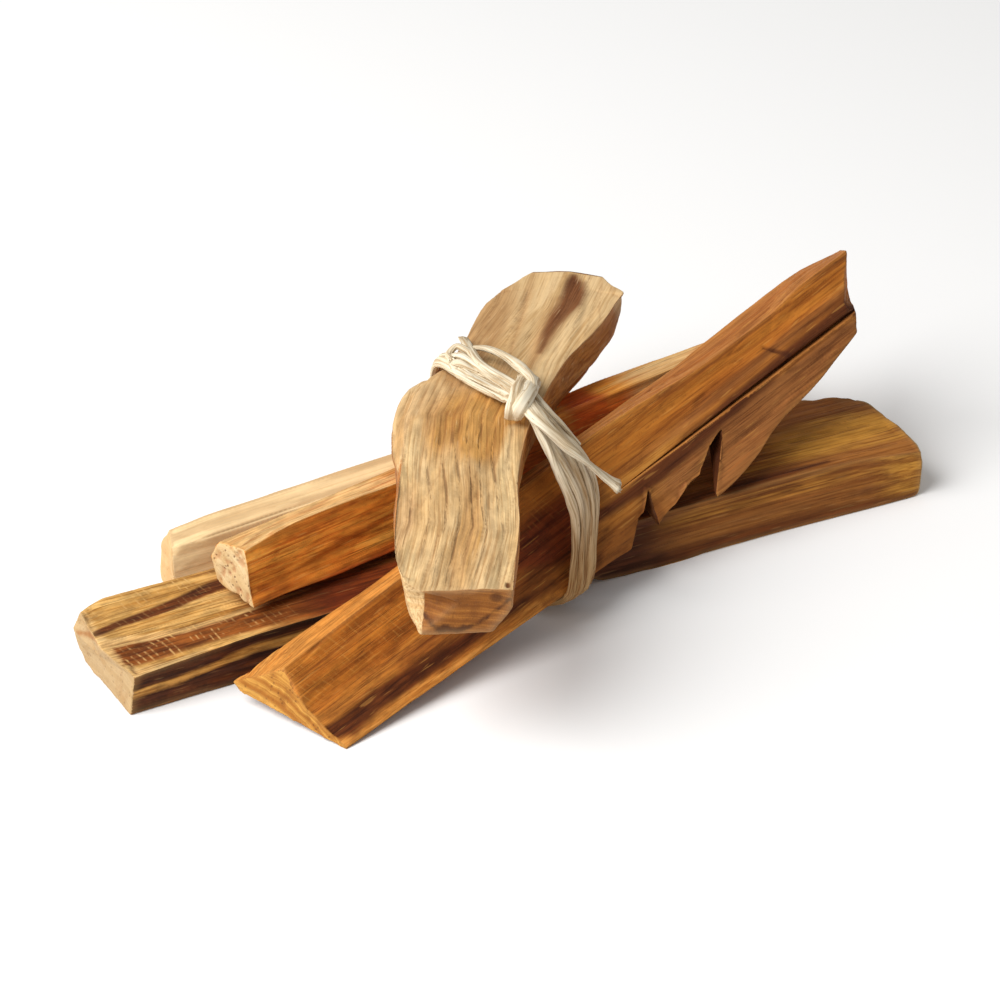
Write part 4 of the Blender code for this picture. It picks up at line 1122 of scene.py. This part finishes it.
class Raffia:
    """Flat ridged strands, gathered into one mesh."""

    AROUND = 28
    RIDGES = 7

    def __init__(self):
        self.points, self.faces, self.fibres, self.low = [], [], [], []
        self.count = 0

    def strand(self, path, outward, width, thickness, seed, roll=0.3, ends=(1.0, 1.0), shade=0.35):
        """Sweeps a ridged flat oval along a path; its ends narrow to the given shares."""
        tangent = unit(np.gradient(path, axis=0))
        out = unit(outward - (outward * tangent).sum(axis=1)[:, None] * tangent)
        side = np.cross(tangent, out)
        run = distance_along(path)

        def slow(rate, shift):
            return wander(run * rate, shift, seed)

        turned = roll * (slow(0.16, 0.3) * 1.6 + slow(0.4, 4.1) * 0.6)
        narrowed = np.interp(run, [0.0, 1.2, run[-1] - 1.2, run[-1]], [ends[0], 1.0, 1.0, ends[1]])
        wide = width * (1.0 + 0.22 * slow(0.22, 1.7) + 0.10 * slow(0.9, 6.7)) * narrowed
        thick = thickness * (1.0 + 0.30 * slow(0.3, 2.9)) * narrowed
        angle = np.linspace(0.0, 2.0 * math.pi, self.AROUND, endpoint=False)
        drift = slow(0.10, 5.2) * 2.5
        ridge = 1.0 + 0.06 * np.cos(self.RIDGES * angle[None, :] + drift[:, None])
        ridge = ridge + 0.05 * np.cos(3.0 * angle[None, :] - 2.0 * drift[:, None] + seed)
        across = np.cos(angle)[None, :] * ridge * wide[:, None] / 2.0
        rise = np.sin(angle)[None, :] * ridge * thick[:, None] / 2.0
        sideways = side * np.cos(turned)[:, None] + out * np.sin(turned)[:, None]
        outwards = out * np.cos(turned)[:, None] - side * np.sin(turned)[:, None]
        points = (path[:, None, :] + across[:, :, None] * sideways[:, None, :]
                  + rise[:, :, None] * outwards[:, None, :])
        rings = len(path)
        first = self.count + np.arange(rings - 1)[:, None] * self.AROUND
        here = np.arange(self.AROUND)[None, :]
        after = (here + 1) % self.AROUND
        quads = np.stack([first + here, first + after, first + self.AROUND + after,
                          first + self.AROUND + here], axis=-1)
        self.faces += [tuple(q) for q in quads.reshape(-1, 4)]
        self.faces.append(tuple(range(self.count + self.AROUND - 1, self.count - 1, -1)))
        last = self.count + (rings - 1) * self.AROUND
        self.faces.append(tuple(range(last, last + self.AROUND)))
        self.points.append(points.reshape(-1, 3))
        fibre = np.empty((rings, self.AROUND, 3))
        fibre[..., 0] = run[:, None]
        fibre[..., 1] = angle[None, :] * width * 0.5
        fibre[..., 2] = seed * 3.7
        self.fibres.append(fibre.reshape(-1, 3))
        # Painted shade: a share of darkness for the low parts of each strand, full on the wound strand
        self.low.append(shade * (1.0 - ease(*SHADED, self.points[-1][:, 2])))
        self.count += rings * self.AROUND

    def frayed(self, path, width, seed, count, length, spread):
        """Loose fibres past the end of a path, each with its own curl."""
        draw = np.random.default_rng(seed)
        end = path[-1]
        along = end - path[-4]
        along /= np.linalg.norm(along)
        side = np.cross(along, UP)
        side /= np.linalg.norm(side)
        rise = np.cross(side, along)
        for k in range(count):
            place = (k + 0.5) / count - 0.5
            reach = length * draw.uniform(0.35, 1.0)
            lean = side * (place * spread + draw.uniform(-0.15, 0.15)) + rise * draw.uniform(-0.25, 0.35)
            curl = side * draw.uniform(-0.5, 0.5) + rise * draw.uniform(-0.3, 0.5)
            start = end + side * place * width * 0.8
            places = [start - along * 1.0, start, start + (along + lean) * reach * 0.5,
                      start + (along + lean + curl * 0.6) * reach]
            self.strand(smooth_path(places, 0.2), rise[None], draw.uniform(0.22, 0.42), 0.2,
                        seed + 10 + k, ends=(1.0, 0.3))

    def mesh(self, name):
        made = bpy.data.meshes.new(name)
        points = (np.vstack(self.points) + np.array(CENTRING)) * MM
        made.from_pydata(points.tolist(), [], self.faces)
        write_layer(made, "low", np.concatenate(self.low))
        write_layer(made, "fibre", np.vstack(self.fibres))
        return made


def wound_strand(raffia, girth, width, thickness):
    """The long strand that goes round the bundle several times."""
    angle = np.arange(FIRST_ANGLE, FIRST_ANGLE + 360.0 * TURNS, 2.0)
    turn = (angle - FIRST_ANGLE) / 360.0
    offset = (turn - TURNS / 2.0) * round_the_tie(angle, TURN_SPACING) + 0.16 * wander(angle / 50.0, 0.0, 905)
    every_second = (turn + 0.02).astype(int) % 2
    lift = 0.12 + 0.22 * every_second + 0.12 * wander(angle / 40.0, 7.0, 906)
    radius = girth.at(offset, angle) + thickness / 2.0 + lift
    way = np.radians(angle)
    out = np.cos(way)[:, None] * TIE_SIDEWAYS + np.sin(way)[:, None] * UP
    path = ((TIE_PLACE + offset + round_the_tie(angle, TIE_LEAN))[:, None] * TIE_AXIS
            + (TIE_CENTRE[0] * TIE_SIDEWAYS + TIE_CENTRE[1] * UP)[None, :] + radius[:, None] * out)
    path[:, 2] = np.maximum(path[:, 2], thickness / 2.0 + 0.1)
    raffia.strand(path, out, width, thickness, 31, roll=0.35, shade=1.0)


def raffia_material(tinted):
    """Dried raffia: cream, with lengthwise fibres and a few brown specks, and painted shade low down."""
    s = Shader("cream_raffia")
    fibre = s.attribute("fibre", vector=True)
    fine = s.noise(s.scaled(fibre, (0.25, 4.2, 1.0)), 3.0, 0.6)
    broad = s.noise(s.scaled(fibre, (0.08, 1.1, 1.0)), 2.0)
    speck = s.noise(s.scaled(fibre, (0.9, 3.0, 1.0)), 1.0)
    low = s.attribute("low")
    creams = (srgb(178, 152, 116), srgb(204, 186, 155), srgb(221, 207, 180), srgb(231, 220, 196))
    tone = s.between(s.sum((fine, 0.6), (broad, 0.4)), 0.38, 0.62)
    colour = s.ramp(tone, zip((0.0, 0.4, 0.75, 1.0), creams))
    # Painted shade: the grooves between fibres darken more low down, and the whole strand is painted darker
    # low down
    groove = s.between(fine, 0.34, 0.46, s.maths("MULTIPLY_ADD", low, 0.5, 0.08), 0.0)
    colour = s.blend(groove, colour, srgb(150, 112, 70))
    colour = s.blend(s.maths("MULTIPLY", low, 0.9), colour, srgb(200, 160, 106), "MULTIPLY")
    colour = s.scaled(colour, tinted)
    colour = s.blend(s.between(speck, 0.68, 0.76, 0.0, 0.6), colour, srgb(140, 104, 64))
    return s.finish(colour, s.between(fine, 0.3, 0.7, 0.8, 0.55), 0.3, fine, 0.6, 0.12 * MM)


def make_tie():
    """The wound strand, the knot with its bow and tail, and the loose fibres at the cut ends."""
    settings = bpy.context.scene.palo_santo.tie
    raffia = Raffia()
    wound_strand(raffia, Girth(), settings.strand_width / MM, settings.strand_thickness / MM)
    for seed, (name, (width, thickness, places)) in enumerate(KNOT_STRANDS.items(), start=40):
        path = smooth_path(places)
        out = path - KNOT_PLACE if name.startswith("wrap") else np.tile(UP, (len(path), 1))
        far_end = 1.25 if name == "tail" else 1.0
        raffia.strand(path, out, width, thickness, seed, roll=0.2, ends=(1.0, far_end))
        if name == "tail":
            raffia.frayed(path, width * far_end, 71, 8, 0.45, 0.2)
        if name.startswith("curl"):
            raffia.frayed(path, width, 72 + seed, 4, 0.9, 0.6)
    add_piece("raffia_tie", raffia.mesh("raffia_strands"), raffia_material(tuple(settings.raffia_tint)),
              "tie")


# ---------------------------------------------------------------- operators


class PALO_OT_striped_stick(bpy.types.Operator):
    """Carve the long striped stick that lies on the table in front"""

    bl_idname = "palo.striped_stick"
    bl_label = "Striped stick"

    def execute(self, context):
        make_stick("striped_stick")
        return {"FINISHED"}


class PALO_OT_pale_stick(bpy.types.Operator):
    """Carve the plain pale stick that lies on the table behind"""

    bl_idname = "palo.pale_stick"
    bl_label = "Pale stick"

    def execute(self, context):
        make_stick("pale_stick")
        return {"FINISHED"}


class PALO_OT_orange_stick(bpy.types.Operator):
    """Carve the square orange stick with the pitted end"""

    bl_idname = "palo.orange_stick"
    bl_label = "Orange stick"

    def execute(self, context):
        make_stick("orange_stick")
        return {"FINISHED"}


class PALO_OT_golden_stick(bpy.types.Operator):
    """Carve the golden stick that climbs to its torn point"""

    bl_idname = "palo.golden_stick"
    bl_label = "Golden stick"

    def execute(self, context):
        make_stick("golden_stick")
        return {"FINISHED"}


class PALO_OT_cross_stick(bpy.types.Operator):
    """Carve the thick pale stick laid across the others"""

    bl_idname = "palo.cross_stick"
    bl_label = "Cross stick"

    def execute(self, context):
        make_stick("cross_stick")
        return {"FINISHED"}


class PALO_OT_raffia_tie(bpy.types.Operator):
    """Wind and knot the raffia round the bundle"""

    bl_idname = "palo.raffia_tie"
    bl_label = "Raffia tie"

    def execute(self, context):
        make_tie()
        return {"FINISHED"}


FLOOR_SIZE = 6.0
LIGHT_PLACE, LIGHT_TARGET = Vector((-0.44, 0.02, 0.42)), Vector((0.0, 0.0, 0.01))
CAMERA_HEADING, CAMERA_TILT = math.radians(28.0), math.radians(30.0)
CAMERA_DISTANCE = 420.0 * MM
CAMERA_TARGET = Vector((0.0, 0.0, 10.0)) * MM


def aim(thing, direction):
    """Turns a lamp or a camera to look along a direction."""
    thing.rotation_euler = direction.to_track_quat("-Z", "Y").to_euler()


class PALO_OT_stage(bpy.types.Operator):
    """Set the pale floor, the soft lights and the camera"""

    bl_idname = "palo.stage"
    bl_label = "Stage"

    def execute(self, context):
        settings = context.scene.palo_santo.stage
        bpy.ops.mesh.primitive_plane_add(size=FLOOR_SIZE, location=(0.0, 0.0, 0.0))
        floor = context.active_object
        floor.name = "floor"
        s = Shader("plain_floor")
        s.body.inputs["Base Color"].default_value = (*settings.floor_colour, 1.0)
        s.body.inputs["Roughness"].default_value = 0.9
        floor.data.materials.append(s.material)

        world = context.scene.world or bpy.data.worlds.new("studio")
        context.scene.world = world
        world.use_nodes = True
        background = world.node_tree.nodes["Background"]
        background.inputs["Color"].default_value = (1.0, 0.995, 0.985, 1.0)
        background.inputs["Strength"].default_value = 0.40

        lamp = bpy.data.lights.new("key_light", "AREA")
        lamp.shape, lamp.size, lamp.energy, lamp.color = "DISK", 0.60, 5.5, (1.0, 0.99, 0.975)
        light = add_object("key_light", lamp)
        light.location = LIGHT_PLACE
        aim(light, LIGHT_TARGET - LIGHT_PLACE)

        lens = bpy.data.cameras.new("camera")
        lens.lens, lens.sensor_width, lens.clip_start, lens.clip_end = settings.lens, 36.0, 0.01, 20.0
        camera = add_object("camera", lens)
        forward = Vector((math.sin(CAMERA_HEADING) * math.cos(CAMERA_TILT),
                          math.cos(CAMERA_HEADING) * math.cos(CAMERA_TILT), -math.sin(CAMERA_TILT)))
        camera.location = CAMERA_TARGET - forward * CAMERA_DISTANCE + Vector(CENTRING) * MM
        aim(camera, forward)
        context.scene.camera = camera
        context.scene.view_settings.view_transform = "Standard"
        return {"FINISHED"}


OPERATORS = (PALO_OT_stage, PALO_OT_striped_stick, PALO_OT_pale_stick, PALO_OT_orange_stick,
             PALO_OT_golden_stick, PALO_OT_cross_stick, PALO_OT_raffia_tie)


class BundleSettings(bpy.types.PropertyGroup):
    """Everything about the bundle that can be set."""

    wood: bpy.props.PointerProperty(name="Wood", description="The sticks", type=WoodSettings)
    tie: bpy.props.PointerProperty(name="Tie", description="The raffia", type=TieSettings)
    stage: bpy.props.PointerProperty(name="Stage", description="The studio", type=StageSettings)


class PALO_PT_panel(bpy.types.Panel):
    """The bundle's pieces, in the order they are made"""

    bl_idname = "PALO_PT_panel"
    bl_label = "Palo Santo Bundle"
    bl_space_type = "VIEW_3D"
    bl_region_type = "UI"
    bl_category = "Palo Santo"

    def draw(self, context):
        settings = context.scene.palo_santo
        for group in (settings.wood, settings.tie, settings.stage):
            box = self.layout.box()
            for name in group.bl_rna.properties.keys():
                if name not in ("rna_type", "name"):
                    box.prop(group, name)
        for operator in OPERATORS:
            self.layout.operator(operator.bl_idname)


CLASSES = (WoodSettings, TieSettings, StageSettings, BundleSettings, *OPERATORS, PALO_PT_panel)


def register():
    for each in CLASSES:
        bpy.utils.register_class(each)
    bpy.types.Scene.palo_santo = bpy.props.PointerProperty(type=BundleSettings)


def unregister():
    del bpy.types.Scene.palo_santo
    for each in reversed(CLASSES):
        bpy.utils.unregister_class(each)


def main():
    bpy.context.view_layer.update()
    register()
    for operator in OPERATORS:
        group, name = operator.bl_idname.split(".")
        getattr(getattr(bpy.ops, group), name)()


if __name__ == "__main__":
    main()
